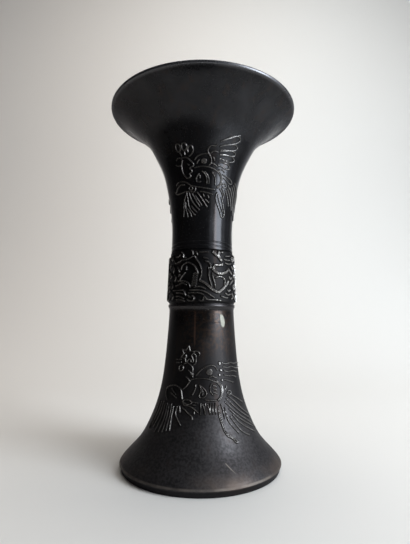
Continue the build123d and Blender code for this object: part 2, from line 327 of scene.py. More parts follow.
def wall_patch(nodes, given):
    """A fine grid over the given angles and heights, shot inwards from far out onto the wall."""
    turns = given["Turn High"] - given["Turn Low"]
    levels = given["Level High"] - given["Level Low"]
    grid = nodes.make("GeometryNodeMeshGrid", None, {
        "Size X": turns, "Size Y": levels,
        "Vertices X": turns * given["Radius"] / given["Cell"], "Vertices Y": levels / given["Cell"]})
    place = nodes.make("ShaderNodeSeparateXYZ", None, {0: nodes.make("GeometryNodeInputPosition")})
    turn = place.out("X") + (given["Turn High"] + given["Turn Low"]) * 0.5
    level = place.out("Y") + (given["Level High"] + given["Level Low"]) * 0.5
    across = turn.math("SINE", turn)
    along = turn.math("COSINE", turn)
    start = nodes.make("ShaderNodeCombineXYZ", None, {0: across * FAR_OUT, 1: along * -FAR_OUT, 2: level})
    inwards = nodes.make("ShaderNodeCombineXYZ", None, {0: across * -1.0, 1: along})
    wall = nodes.make("GeometryNodeObjectInfo", None, {"Object": given["Wall"]}, "Geometry")
    ray = {"Target Geometry": wall, "Source Position": start, "Ray Direction": inwards, "Ray Length": FAR_OUT}
    hit = nodes.make("GeometryNodeRaycast", None, ray, "Hit Position")
    return nodes.make("GeometryNodeSetPosition", None, {"Geometry": grid, "Position": hit})


def raised_lines_tree():
    objects = [("Wall", "NodeSocketObject"), ("Drawing", "NodeSocketObject")]
    sizes = ["Radius", "Half Width", "Height", "Cell", "Turn Low", "Turn High", "Level Low", "Level High"]
    nodes, given = shape_tree("raised lines", [
        *objects, ("Material", "NodeSocketMaterial"), *[(size, "NodeSocketFloat") for size in sizes]])
    patch = wall_patch(nodes, given)
    near, share, lift = lift_of(nodes, given["Drawing"], given["Half Width"], given["Height"])
    clear = nodes.above(near, given["Half Width"] + given["Cell"] * EDGE_CELLS)
    patch = nodes.make("GeometryNodeDeleteGeometry", {"domain": "FACE"},
                       {"Geometry": patch, "Selection": clear})
    normal = nodes.make("GeometryNodeInputNormal")
    kept = (("raise", "FLOAT", share), ("lift", "FLOAT", lift), ("out", "FLOAT_VECTOR", normal))
    for name, kind, value in kept:
        patch = nodes.make("GeometryNodeStoreNamedAttribute", {"data_type": kind},
                           {"Geometry": patch, "Name": name, "Value": value})
    outwards = nodes.make("GeometryNodeInputNamedAttribute", {"data_type": "FLOAT_VECTOR"}, {"Name": "out"})
    height = nodes.make("GeometryNodeInputNamedAttribute", {"data_type": "FLOAT"}, {"Name": "lift"})
    under = nodes.make("GeometryNodeSetPosition", None,
                       {"Geometry": patch, "Offset": nodes.scaled(outwards, -PATCH_DEPTH)})
    pulled = nodes.make("GeometryNodeExtrudeMesh", {"mode": "FACES"},
                        {"Mesh": under, "Offset": outwards, "Offset Scale": TINY * 5, "Individual": False})
    rise = nodes.scaled(outwards, height + (PATCH_DEPTH - LINE_FOOT))
    top = nodes.make("GeometryNodeSetPosition", None,
                     {"Geometry": pulled, "Selection": pulled.out("Top"), "Offset": rise})
    bottom = nodes.make("GeometryNodeFlipFaces", None, {"Mesh": under})
    both = nodes.make("GeometryNodeJoinGeometry", None, {"Geometry": [top, bottom]})
    closed = nodes.make("GeometryNodeMergeByDistance", None, {"Geometry": both, "Distance": TINY})
    finish_tree(nodes, closed, given["Material"])


raised_lines_tree()
print("raised lines take", len(GN_TREES["raised lines"].nodes), "nodes")

# %% [markdown]
# The band between the two trumpets is one casting, and its dragon and cloud scrolls grow out of its wall all
# the way round. So its lathe gets many rows, and the same measure of distance to a drawn line lifts the
# outer side only. The inner side, which is soldered over the spigots, stays plain.

# %% Scrolls on a turned sleeve as a node tree
def scrolls_tree():
    sizes = ["Half Width", "Height", "Outer Radius"]
    nodes, given = shape_tree("scrolls", [
        ("Drawing", "NodeSocketObject"), ("Material", "NodeSocketMaterial"),
        *[(size, "NodeSocketFloat") for size in sizes]])
    _, share, lift = lift_of(nodes, given["Drawing"], given["Half Width"], given["Height"])
    position = nodes.make("GeometryNodeInputPosition")
    flat = nodes.make("ShaderNodeVectorMath", {"operation": "MULTIPLY"}, {0: position, 1: (1.0, 1.0, 0.0)})
    radius = nodes.make("ShaderNodeVectorMath", {"operation": "LENGTH"}, {0: flat}, "Value")
    outwards = nodes.make("ShaderNodeVectorMath", {"operation": "NORMALIZE"}, {0: flat})
    outer = nodes.above(radius, given["Outer Radius"])
    stored = nodes.make("GeometryNodeStoreNamedAttribute", {"data_type": "FLOAT"},
                        {"Geometry": given["Geometry"], "Name": "raise", "Value": share * outer})
    lifted = nodes.make("GeometryNodeSetPosition", None,
                        {"Geometry": stored, "Offset": nodes.scaled(outwards, lift * outer)})
    finish_tree(nodes, lifted, given["Material"])


scrolls_tree()
print("trees so far:", sorted(GN_TREES))

# %% [markdown]
# The patina is nearly black, with brown where hands and dust have rubbed it. On a real bronze it is a thin
# oxide skin under wax, so it mirrors like metal but keeps almost no colour. Every finish is built up in the
# same way, as one colour laid over another by a soft pattern, so a class keeps the finish while it grows.

# %% Finishes that are laid in coats
def where(nodes, kind):
    """A place or direction: the whole, and its X, Y and Z."""
    place = nodes.make("ShaderNodeTexCoord", None, None, kind)
    parts = nodes.make("ShaderNodeSeparateXYZ", None, {0: place})
    return place, parts.out("X"), parts.out("Y"), parts.out("Z")


def mixed(nodes, share, first, second):
    colours = {0: share, 6: first, 7: second}
    return nodes.make("ShaderNodeMix", {"data_type": "RGBA"}, colours, 2)


class Finish:
    """A material under construction, with its colour so far."""

    def __init__(self, name):
        self.material = bpy.data.materials.new(name)
        self.material.use_nodes = True
        self.shader = self.material.node_tree.nodes["Principled BSDF"]
        self.nodes = Nodes(self.material.node_tree)
        self.place, self.x, self.y, self.z = where(self.nodes, "Object")

    def noise(self, scale, detail, stretch=None):
        place = self.place
        if stretch:
            place = self.nodes.make("ShaderNodeVectorMath", {"operation": "MULTIPLY"}, {0: place, 1: stretch})
        sizes = {"Vector": place, "Scale": scale, "Detail": detail}
        return self.nodes.make("ShaderNodeTexNoise", None, sizes)

    def patches(self, scale, detail, low, high, start=0.0, end=1.0, stretch=None):
        """Soft patches, from start to end as a noise goes from low to high."""
        return self.nodes.ramp(self.noise(scale, detail, stretch), low, high, start, end)

    def over(self, value, span):
        """A soft step from nothing to all, over a span in mm."""
        return self.nodes.ramp(value, span[0] * MM, span[1] * MM)

    def attribute(self, name):
        return self.nodes.make("ShaderNodeAttribute", {"attribute_name": name}, None, "Fac")

    def lay(self, share, colour):
        """Lays a colour over the finish, by a share."""
        self.colour = mixed(self.nodes, share, self.colour, colour)

    def bumps(self, strength, depth, height):
        sizes = {"Strength": strength, "Distance": depth * MM, "Height": height}
        return self.nodes.make("ShaderNodeBump", None, sizes)

    def set(self, **values):
        """Links or sets sockets of the shader."""
        for name, value in values.items():
            socket = self.shader.inputs[name.replace("_", " ")]
            if isinstance(value, Wire):
                self.nodes.tree.links.new(value.socket, socket)
            else:
                socket.default_value = value


print("finishes are laid in coats")

# %% [markdown]
# One recipe makes all of the bronzes: soft mottling, fine casting grain, brown streaks that run down the
# wall, and specks of dust. Each bronze has its own darkness, gloss and wax. The wear of a place, and the
# light or shade painted on it, where it has them, is a function that works the finish further before it is
# closed.

# %% Bronze
BROWN = (0.040, 0.026, 0.019, 1)
DUST = (0.085, 0.080, 0.078, 1)
DARK_RIM = (0.55, 0.55, 0.57, 1)
BRONZE_METALLIC = 0.85
WAX_ROUGHNESS = 0.16
DOWN_THE_WALL = (170.0, 170.0, 9.0)


def bronze(name, dark, light, gloss, wax=0.0, streaks=0.12, specks=0.10, wear_and_painted_light=None):
    """A bronze between two colours and two roughnesses."""
    made = Finish(name)
    mottle = made.patches(scale=55.0, detail=5.0, low=0.36, high=0.68)
    streak = made.patches(scale=1.0, detail=4.0, low=0.52, high=0.74, stretch=DOWN_THE_WALL)
    speck = made.patches(scale=950.0, detail=1.0, low=0.66, high=0.74)
    grain = made.noise(scale=1500.0, detail=2.0)
    made.swell = made.noise(scale=140.0, detail=2.0)
    made.dark = dark
    made.colour = mixed(made.nodes, mottle, dark, light)
    made.lay(streak * streaks, BROWN)
    made.lay(speck * specks, DUST)
    made.rough = made.nodes.ramp(mottle * 0.6 + made.swell * 0.4, 0.15, 0.85, *gloss) + speck * 0.12
    made.metallic = BRONZE_METALLIC
    if wear_and_painted_light:
        wear_and_painted_light(made)
    skin = grain * 0.35 + made.swell * 1.6 + speck * 0.3
    made.set(Base_Color=made.colour, Roughness=made.rough, Metallic=made.metallic,
             Normal=made.bumps(strength=0.16, depth=0.25, height=skin),
             Specular_Tint=DARK_RIM, Coat_Weight=wax, Coat_Roughness=WAX_ROUGHNESS)
    return made.material


inside_bronze = bronze("bronze_inside", (0.016, 0.014, 0.012, 1), (0.030, 0.026, 0.022, 1), (0.50, 0.68))
print("bronze inside the vase:", inside_bronze.name)

# %% [markdown]
# Raised lines carry an attribute that says how high each point stands. Hands and cloths rub their backs
# bright, while the ground beside them stays dark and dull. Towards the right, the window's side, the backs
# are lighter still: painted highlight over the rubbing. The birds' lines keep a bronze darker than the wall
# low on their flanks, painted shade at their feet. The lip is rubbed too, and the trumpet below it has lost
# some of its gloss.

# %% Rubbed lines and lip
RUBBED = (0.140, 0.129, 0.120, 1)
# The polished colours and their span make the backs lighter towards the window: painted highlight.
POLISHED_AND_LIT = (0.225, 0.217, 0.210, 1)
BAND_POLISHED_AND_LIT = (0.36, 0.345, 0.33, 1)
POLISH_AND_HIGHLIGHT_SPAN = (2.0, 20.0)
WORN_LIP = (0.11, 0.11, 0.118, 1)
LIP_WEAR_SPAN = (mouth_top - 3.4, mouth_top - 2.2)
DULL_TRUMPET_SPAN = (222, 262)


def rubbed_and_lit_backs(made, share, smoother, polish_and_highlight):
    # Low on each line no rub is laid, so it keeps its own bronze; on the birds that bronze is darker than the
    # wall: painted shade at the foot of each line.
    back = made.nodes.ramp(made.attribute("raise"), 0.30, 0.95)
    # Lighter towards the right, the window's side: painted highlight over the rubbing.
    rubbed = mixed(made.nodes, made.over(made.x, POLISH_AND_HIGHLIGHT_SPAN), RUBBED, polish_and_highlight)
    made.lay(back * made.nodes.ramp(made.swell, 0.25, 0.70, 0.7, 1.0) * share, rubbed)
    made.rough = made.rough - back * smoother
    made.metallic = made.metallic - back * 0.08


def rubbed_lip(made):
    made.lay(made.over(made.z, LIP_WEAR_SPAN), WORN_LIP)
    made.rough = made.rough + made.over(made.z, DULL_TRUMPET_SPAN) * 0.13


neck_bronze = bronze(
    "bronze", (0.0180, 0.0180, 0.0196, 1), (0.0262, 0.0260, 0.0280, 1), (0.13, 0.21), wax=0.04,
    streaks=0.3, wear_and_painted_light=rubbed_lip)
band_bronze = bronze(
    "bronze_band", (0.0065, 0.0064, 0.0070, 1), (0.0130, 0.0122, 0.0122, 1), (0.44, 0.58),
    streaks=0.3, wear_and_painted_light=lambda made: rubbed_and_lit_backs(made, 1.0, 0.29, BAND_POLISHED_AND_LIT))
# The birds' lines are darker than the wall they stand on: painted shade in the crevice at their feet, with
# some dirt.
line_bronze = bronze(
    "bronze_relief", (0.007, 0.0068, 0.007, 1), (0.013, 0.0125, 0.013, 1), (0.40, 0.52),
    streaks=0.2, wear_and_painted_light=lambda made: rubbed_and_lit_backs(made, 0.8, 0.22, POLISHED_AND_LIT))
print("rubbed:", band_bronze.name, line_bronze.name, neck_bronze.name)

# %% [markdown]
# The foot shows the most wear. Its skirt is grey and grainy, the slim wall above has a warm brown tint, the
# collar is rubbed grey, and the edge is worn nearly bare. Below the worn edge the bronze is painted darker:
# painted shade where the foot meets the table. A short scratch and a brown trail down the front are single
# marks, so each is written as a distance from a line.

# %% Worn foot
SKIRT_GREY = (0.050, 0.047, 0.0485, 1)
WORN_EDGE = (0.17, 0.150, 0.132, 1)
LOW_BROWN = (0.105, 0.082, 0.070, 1)
SKIRT_SPAN = (66.0, 30.0)
DULL_WALL_SPAN = (115.0, 85.0)
WARM_SPAN, WARM_END, WARM_SIDE = (78.0, 96.0), (117.5, 115.5), (-20.0, -8.0)
COLLAR_SPAN = (117.2, 118.0)
EDGE_SPAN, EDGE_END = (4.2, 4.8), (6.0, 5.2)
LOW_BROWN_SPAN = (14.0, 6.0)
PAINTED_SHADE_BORDER_SPAN = (4.3, 3.2)


def worn_and_shaded_surface(made):
    grainy = made.patches(scale=620.0, detail=3.0, low=0.34, high=0.66, start=0.35)
    made.lay(made.over(made.z, SKIRT_SPAN) * grainy, SKIRT_GREY)
    made.rough = made.rough + made.over(made.z, DULL_WALL_SPAN) * 0.25
    warm = made.patches(scale=480.0, detail=4.0, low=0.42, high=0.62) * made.over(made.z, WARM_SPAN)
    warm = warm * made.over(made.z, WARM_END) * made.over(made.x, WARM_SIDE)
    made.lay(warm * 0.7, BROWN)
    made.lay(made.over(made.z, COLLAR_SPAN) * 0.5, SKIRT_GREY)
    edge = made.over(made.z, EDGE_SPAN) * made.over(made.z, EDGE_END)
    made.lay(edge * made.nodes.ramp(made.swell, 0.30, 0.62, 0.25, 0.85), WORN_EDGE)
    # Brown patches low on the foot, near its edge.
    low_patches = made.over(made.z, LOW_BROWN_SPAN) * made.patches(scale=45.0, detail=4.0, low=0.40, high=0.74)
    made.lay(low_patches * 0.8, LOW_BROWN)
    # Painted shade along the lowest few millimetres of the foot, where it meets the table.
    made.lay(made.over(made.z, PAINTED_SHADE_BORDER_SPAN) * 0.85, made.dark)


TRAIL_BROWN = (0.11, 0.062, 0.045, 1)
TRAIL_TURN = math.radians(-10)
TRAIL_WIDTH = (0.95, 0.15)
TRAIL_SPAN, TRAIL_END = (88, 98), (117, 115)
SCRATCH_START = (16.8, 16.6)
SCRATCH_WAY = (0.738, -0.675)
SCRATCH_LENGTH = 10.0
SCRATCH_BEND = 0.8
SCRATCH_WIDTH = (0.38, 0.12)


def foot_marks(made):
    front = made.nodes.above(made.y * -1.0, 0.0)
    from_x = made.x - SCRATCH_START[0] * MM
    from_z = made.z - SCRATCH_START[1] * MM
    along = (from_x * SCRATCH_WAY[0] + from_z * SCRATCH_WAY[1]) / (SCRATCH_LENGTH * MM)
    off = from_z * SCRATCH_WAY[0] - from_x * SCRATCH_WAY[1] - along * along * (SCRATCH_BEND * MM)
    scratch = made.over(abs(off), SCRATCH_WIDTH) * made.nodes.ramp(along, 1.0, 0.3)
    made.lay(scratch * made.nodes.above(along, 0.0) * front * 0.85, WORN_EDGE)
    aside = made.x * math.cos(TRAIL_TURN) + made.y * math.sin(TRAIL_TURN)
    trail = made.over(abs(aside), TRAIL_WIDTH) * made.over(made.z, TRAIL_SPAN) * made.over(made.z, TRAIL_END)
    made.lay(trail * front * 0.8, TRAIL_BROWN)


def worn_and_shaded_foot(made):
    worn_and_shaded_surface(made)
    foot_marks(made)


foot_bronze = bronze(
    "bronze_foot", (0.0140, 0.0133, 0.0140, 1), (0.0215, 0.0198, 0.0202, 1), (0.22, 0.32), wax=0.03,
    streaks=0.5, specks=0.2, wear_and_painted_light=worn_and_shaded_foot)
print("the foot's finish has", len(foot_bronze.node_tree.nodes), "nodes")

# %% [markdown]
# Two more metals are on the vase. A pale plug of white metal closes a hole that the core of the casting left
# under the band, and grey tin solder fills the joints. Both are dull, so their colour does most of the work:
# the plug is cream with tiny pits and a darker rim, which is painted shade in the seam round it, and the
# solder is lumpy and stained.

# %% Plug and solder
PLUG_GREY, PLUG_CREAM = (0.24, 0.24, 0.20, 1), (0.31, 0.31, 0.265, 1)
PIT_BROWN, RIM_PAINTED_SHADE = (0.18, 0.16, 0.12, 1), (0.06, 0.05, 0.04, 1)
TIN, STAINED_TIN = (0.26, 0.26, 0.25, 1), (0.13, 0.12, 0.11, 1)


def white_metal():
    made = Finish("plug")
    cloud = made.patches(scale=420.0, detail=4.0, low=0.35, high=0.70)
    pit = made.patches(scale=1900.0, detail=2.0, low=0.62, high=0.70)
    made.colour = mixed(made.nodes, cloud, PLUG_GREY, PLUG_CREAM)
    made.lay(pit * 0.5, PIT_BROWN)
    # Painted shade in the seam round the plug.
    made.lay(made.nodes.ramp(made.attribute("rim"), 0.72, 1.0), RIM_PAINTED_SHADE)
    made.set(Base_Color=made.colour, Roughness=cloud * 0.15 + 0.50, Metallic=0.15,
             Normal=made.bumps(strength=0.3, depth=0.2, height=cloud * 0.6 - pit))
    return made.material


def tin_solder():
    made = Finish("solder")
    stain = made.patches(scale=120.0, detail=3.0, low=0.40, high=0.65)
    lump = made.noise(scale=300.0, detail=4.0)
    made.set(Base_Color=mixed(made.nodes, stain, TIN, STAINED_TIN), Roughness=stain * 0.2 + 0.48,
             Metallic=0.8, Normal=made.bumps(strength=0.4, depth=0.4, height=lump))
    return made.material


plug_metal = white_metal()
solder_metal = tin_solder()
hidden_nodes = {"floor_plate": inside_bronze, "floor_solder": solder_metal,
                "upper_joint_solder": solder_metal, "lower_joint_solder": solder_metal}
for node, metal in hidden_nodes.items():
    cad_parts[node].data.materials.clear()
    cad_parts[node].data.materials.append(metal)
print("metal on", sorted(hidden_nodes))

# %% [markdown]
# The mouth is one casting: a slim neck that opens into a trumpet with a rolled lip, and below it a plain
# spigot that goes down into the band. Its section runs up the outside, round the lip, down the inside and
# back along the spigot. Two fine grooves circle the neck just above the band, where the model was scribed.

# %% Mouth and neck
LIP_HEIGHT = 2.8
LIP_ROUND = 1.2
LINING_TOP = mouth_top - 3.4
SPIGOT_RADIUS = 22.6
SPIGOT_BORE = 20.6
ROUND_STEPS = 360
WALL_SPACING, LINING_SPACING = 0.3, 2.5
WALL_STRIDE = 4
NECK_GROOVES = (mouth_low + 2.4, mouth_low + 5.5)
GROOVE_DEPTH = 0.28
GROOVE_HALF_WIDTH = 0.55
GROOVE_POINTS = 15
NECK_MARGIN, LINING_MARGIN = 0.05, 0.5
NECK_BEVEL = 0.1


def arc(centre, radius, start, end, count):
    angles = np.radians(np.linspace(start, end, count))
    return [(centre[0] + radius * math.cos(a), centre[1] + radius * math.sin(a)) for a in angles]


def turned_piece(name, section, material, steps=ROUND_STEPS):
    """A turned piece from a closed section of (radius, height) in mm."""
    points = [(radius * MM, 0.0, height * MM) for radius, height in section]
    piece = piece_from(name, points, closed_loop(len(points)))
    return run_tree(piece, "lathe", Steps=steps, Material=material)


def grooved(curve, levels):
    """The same wall with fine grooves cut at the given heights."""
    heights = set(np.round(curve[::WALL_STRIDE, 1], 3))
    reach = 3 * GROOVE_HALF_WIDTH
    for level in levels:
        heights.update(np.round(np.linspace(level - reach, level + reach, GROOVE_POINTS), 3))
    heights = np.array(sorted(heights))
    radii = np.interp(heights, curve[:, 1], curve[:, 0])
    for level in levels:
        radii -= GROOVE_DEPTH * np.exp(-((heights - level) / GROOVE_HALF_WIDTH) ** 2)
    return list(zip(radii, heights))


lip_base = mouth_top - LIP_HEIGHT
lip_centre = mouth_radius - LIP_ROUND
spigot_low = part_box("mouth_trumpet")[0][2] / MM
mouth_wall = wall_curve("mouth_trumpet", True, mouth_low + NECK_MARGIN, lip_base, WALL_SPACING)
lining_low = mouth_low + LINING_MARGIN
mouth_lining = wall_curve("mouth_trumpet", False, lining_low, LINING_TOP, LINING_SPACING)
mouth_section = [
    *grooved(mouth_wall, NECK_GROOVES),
    *arc((lip_centre, lip_base + LIP_ROUND), LIP_ROUND, -80, 0, 6),
    *arc((lip_centre, mouth_top - LIP_ROUND), LIP_ROUND, 0, 90, 7),
    *[tuple(point) for point in mouth_lining[::-1]],
    (SPIGOT_BORE, mouth_low),
    (SPIGOT_BORE, spigot_low),
    (SPIGOT_RADIUS, spigot_low),
    (SPIGOT_RADIUS, mouth_low),
    (mouth_wall[0][0] - NECK_BEVEL, mouth_low),
]
mouth = turned_piece("mouth_and_neck", mouth_section, neck_bronze)

# %% [markdown]
# The foot is the mouth's counterpart, upside down: a smooth collar under the band, a slim wall that flares
# out to a wide skirt, and an upright edge that draws in a little to the ring it stands on. It is hollow from
# below. At its top a spigot enters the band, with a ledge inside that carries the floor of the well.

# %% Foot
RING_INNER, RING_OUTER = 55.5, 59.3
RING_BEVEL = (59.6, 0.25)
EDGE_FACE = (60.55, 3.5)
EDGE_CENTRE, EDGE_ROUND = (60.35, 4.35), 0.65
EDGE_HEIGHT = 5.0
COLLAR_BASE = band_low - 4.4
COLLAR_LOW = (25.7, COLLAR_BASE + 0.5)
COLLAR_CENTRE, COLLAR_ROUND = (24.55, COLLAR_BASE + 2.5), 2.0
COLLAR_TOP = (25.75, band_low)
FLOOR_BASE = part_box("floor_plate")[0][2] / MM
LEDGE_RADIUS = SPIGOT_BORE - 2.0
LEDGE_HEIGHT = 3.5
HOLLOW_LOW, HOLLOW_TOP = 11.0, COLLAR_BASE - 3.0
SKIRT_LOW, SKIRT_TOP = EDGE_HEIGHT + 0.02, COLLAR_BASE - 0.02
spigot_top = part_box("foot_trumpet")[1][2] / MM
foot_wall = wall_curve("foot_trumpet", True, SKIRT_LOW, SKIRT_TOP, WALL_SPACING)
foot_lining = wall_curve("foot_trumpet", False, HOLLOW_LOW, HOLLOW_TOP, LINING_SPACING)
foot_section = [
    (RING_INNER, 0.0),
    (RING_OUTER, 0.0),
    RING_BEVEL,
    EDGE_FACE,
    *arc(EDGE_CENTRE, EDGE_ROUND, -25, 60, 6),
    *[tuple(point) for point in foot_wall[WALL_STRIDE::WALL_STRIDE]],
    COLLAR_LOW,
    *arc(COLLAR_CENTRE, COLLAR_ROUND, -35, 48, 9),
    COLLAR_TOP,
    (SPIGOT_RADIUS, band_low),
    (SPIGOT_RADIUS, spigot_top),
    (SPIGOT_BORE, spigot_top),
    (SPIGOT_BORE, FLOOR_BASE),
    (LEDGE_RADIUS, FLOOR_BASE),
    (LEDGE_RADIUS, FLOOR_BASE - LEDGE_HEIGHT),
    *[tuple(point) for point in foot_lining[::-1]],
]
foot = turned_piece("foot", foot_section, foot_bronze)

# %% [markdown]
# The drawings are lines of a few points each, in millimetres: how far round the vase from the middle of its
# front, at a stated radius, and how high above the table. They were drawn over the wall, one line per
# raised cord. What comes up often has a helper: a feather from its root, tip and width, a ring, a knob, a
# filled field, a spiral, and a second line beside the first where a ridge is broad.

# %% Drawing tools
ROOT_SHARE, TIP_SHARE = 0.6, 0.9
RING_POINTS = 13


def feather(root_x, root_z, tip_x, tip_z, width):
    """Outline of a feather: along one side, round the tip and back."""
    root, tip = np.array([root_x, root_z]), np.array([tip_x, tip_z])
    along = (tip - root) / np.linalg.norm(tip - root)
    across = np.array([-along[1], along[0]]) * width / 2
    middle = root + 0.5 * (tip - root)
    shoulder = tip - along * width * 0.5
    side = [root + across * ROOT_SHARE, middle + across, shoulder + across * TIP_SHARE]
    other = [shoulder - across * TIP_SHARE, middle - across, root - across * ROOT_SHARE]
    return [*side, tip, *other]


def ring(x, z, wide, high=None):
    angles = np.linspace(0, math.tau, RING_POINTS)
    return [(x + wide * math.cos(a), z + (high or wide) * math.sin(a)) for a in angles]


BOSS_TURNS, BOSS_POINTS = 2, 25
BOSS_START = 0.225


def boss(x, z, radius):
    """A round knob: a small line that winds outwards and fills itself."""
    angles = np.linspace(0, BOSS_TURNS * math.tau, BOSS_POINTS)
    reach = radius * BOSS_START * (1 + angles / (BOSS_TURNS * math.tau))
    return [(x + r * math.cos(a), z + r * math.sin(a)) for r, a in zip(reach, angles)]


FIELD_STEP = 0.35


def filled(outline):
    """A raised field: its outline and smaller copies of it towards the middle."""
    outline = np.array(outline)
    middle = outline.mean(axis=0)
    reach = np.linalg.norm(outline - middle, axis=1).min()
    return [middle + share * (outline - middle) for share in np.arange(1.0, 0.05, -FIELD_STEP / reach)]


CURL_SHRINK = 0.8
CURL_POINTS = 10


def curl(x, z, radius, start, turns):
    """A spiral that winds in from a start angle in degrees; negative turns wind clockwise."""
    shares = np.linspace(0, 1, int(CURL_POINTS * abs(turns)) + 4)
    angles = np.radians(start) + shares * turns * math.tau
    reach = radius * (1 - CURL_SHRINK * shares)
    return [(x + r * math.cos(a), z + r * math.sin(a)) for r, a in zip(reach, angles)]


BROAD = 0.9


def beside(line):
    """The same line again, a little to its left, which makes the ridge broader."""
    points = np.array(line)
    ways = np.gradient(points, axis=0)
    ways /= np.linalg.norm(ways, axis=1, keepdims=True)
    return [tuple(point) for point in points + BROAD * ways[:, ::-1] * (-1, 1)]


STROKE_STEP = 0.5


def on_wall(drawing, radius, wall, turn=0.0):
    """The lines of a drawing on the wall, in metres, and the range of angles and heights that they cover."""
    points, edges, turns, levels = [], [], [], []
    for line in drawing:
        path = smooth_through(line, STROKE_STEP)
        angle = path[:, 0] / radius + turn
        around = np.interp(path[:, 1], wall[:, 1], wall[:, 0])
        first = len(points)
        points += list(zip(around * np.sin(angle) * MM, -around * np.cos(angle) * MM, path[:, 1] * MM))
        edges += [(i, i + 1) for i in range(first, len(points) - 1)]
        turns += [angle.min(), angle.max()]
        levels += [path[:, 1].min(), path[:, 1].max()]
    return points, edges, (min(turns), max(turns)), (min(levels), max(levels))


print("a feather takes", len(feather(0, 0, 10, 0, 3)), "points")

# %% [markdown]
# The upper bird stands on the neck with its beak to the left. It has a crest of two rings and a loop, a
# scalloped throat, a boss on the shoulder under an arch, and a round body with comma-shaped markings. Wing
# and tail feathers stream off to the right, and a second fan hangs below the body on the left.

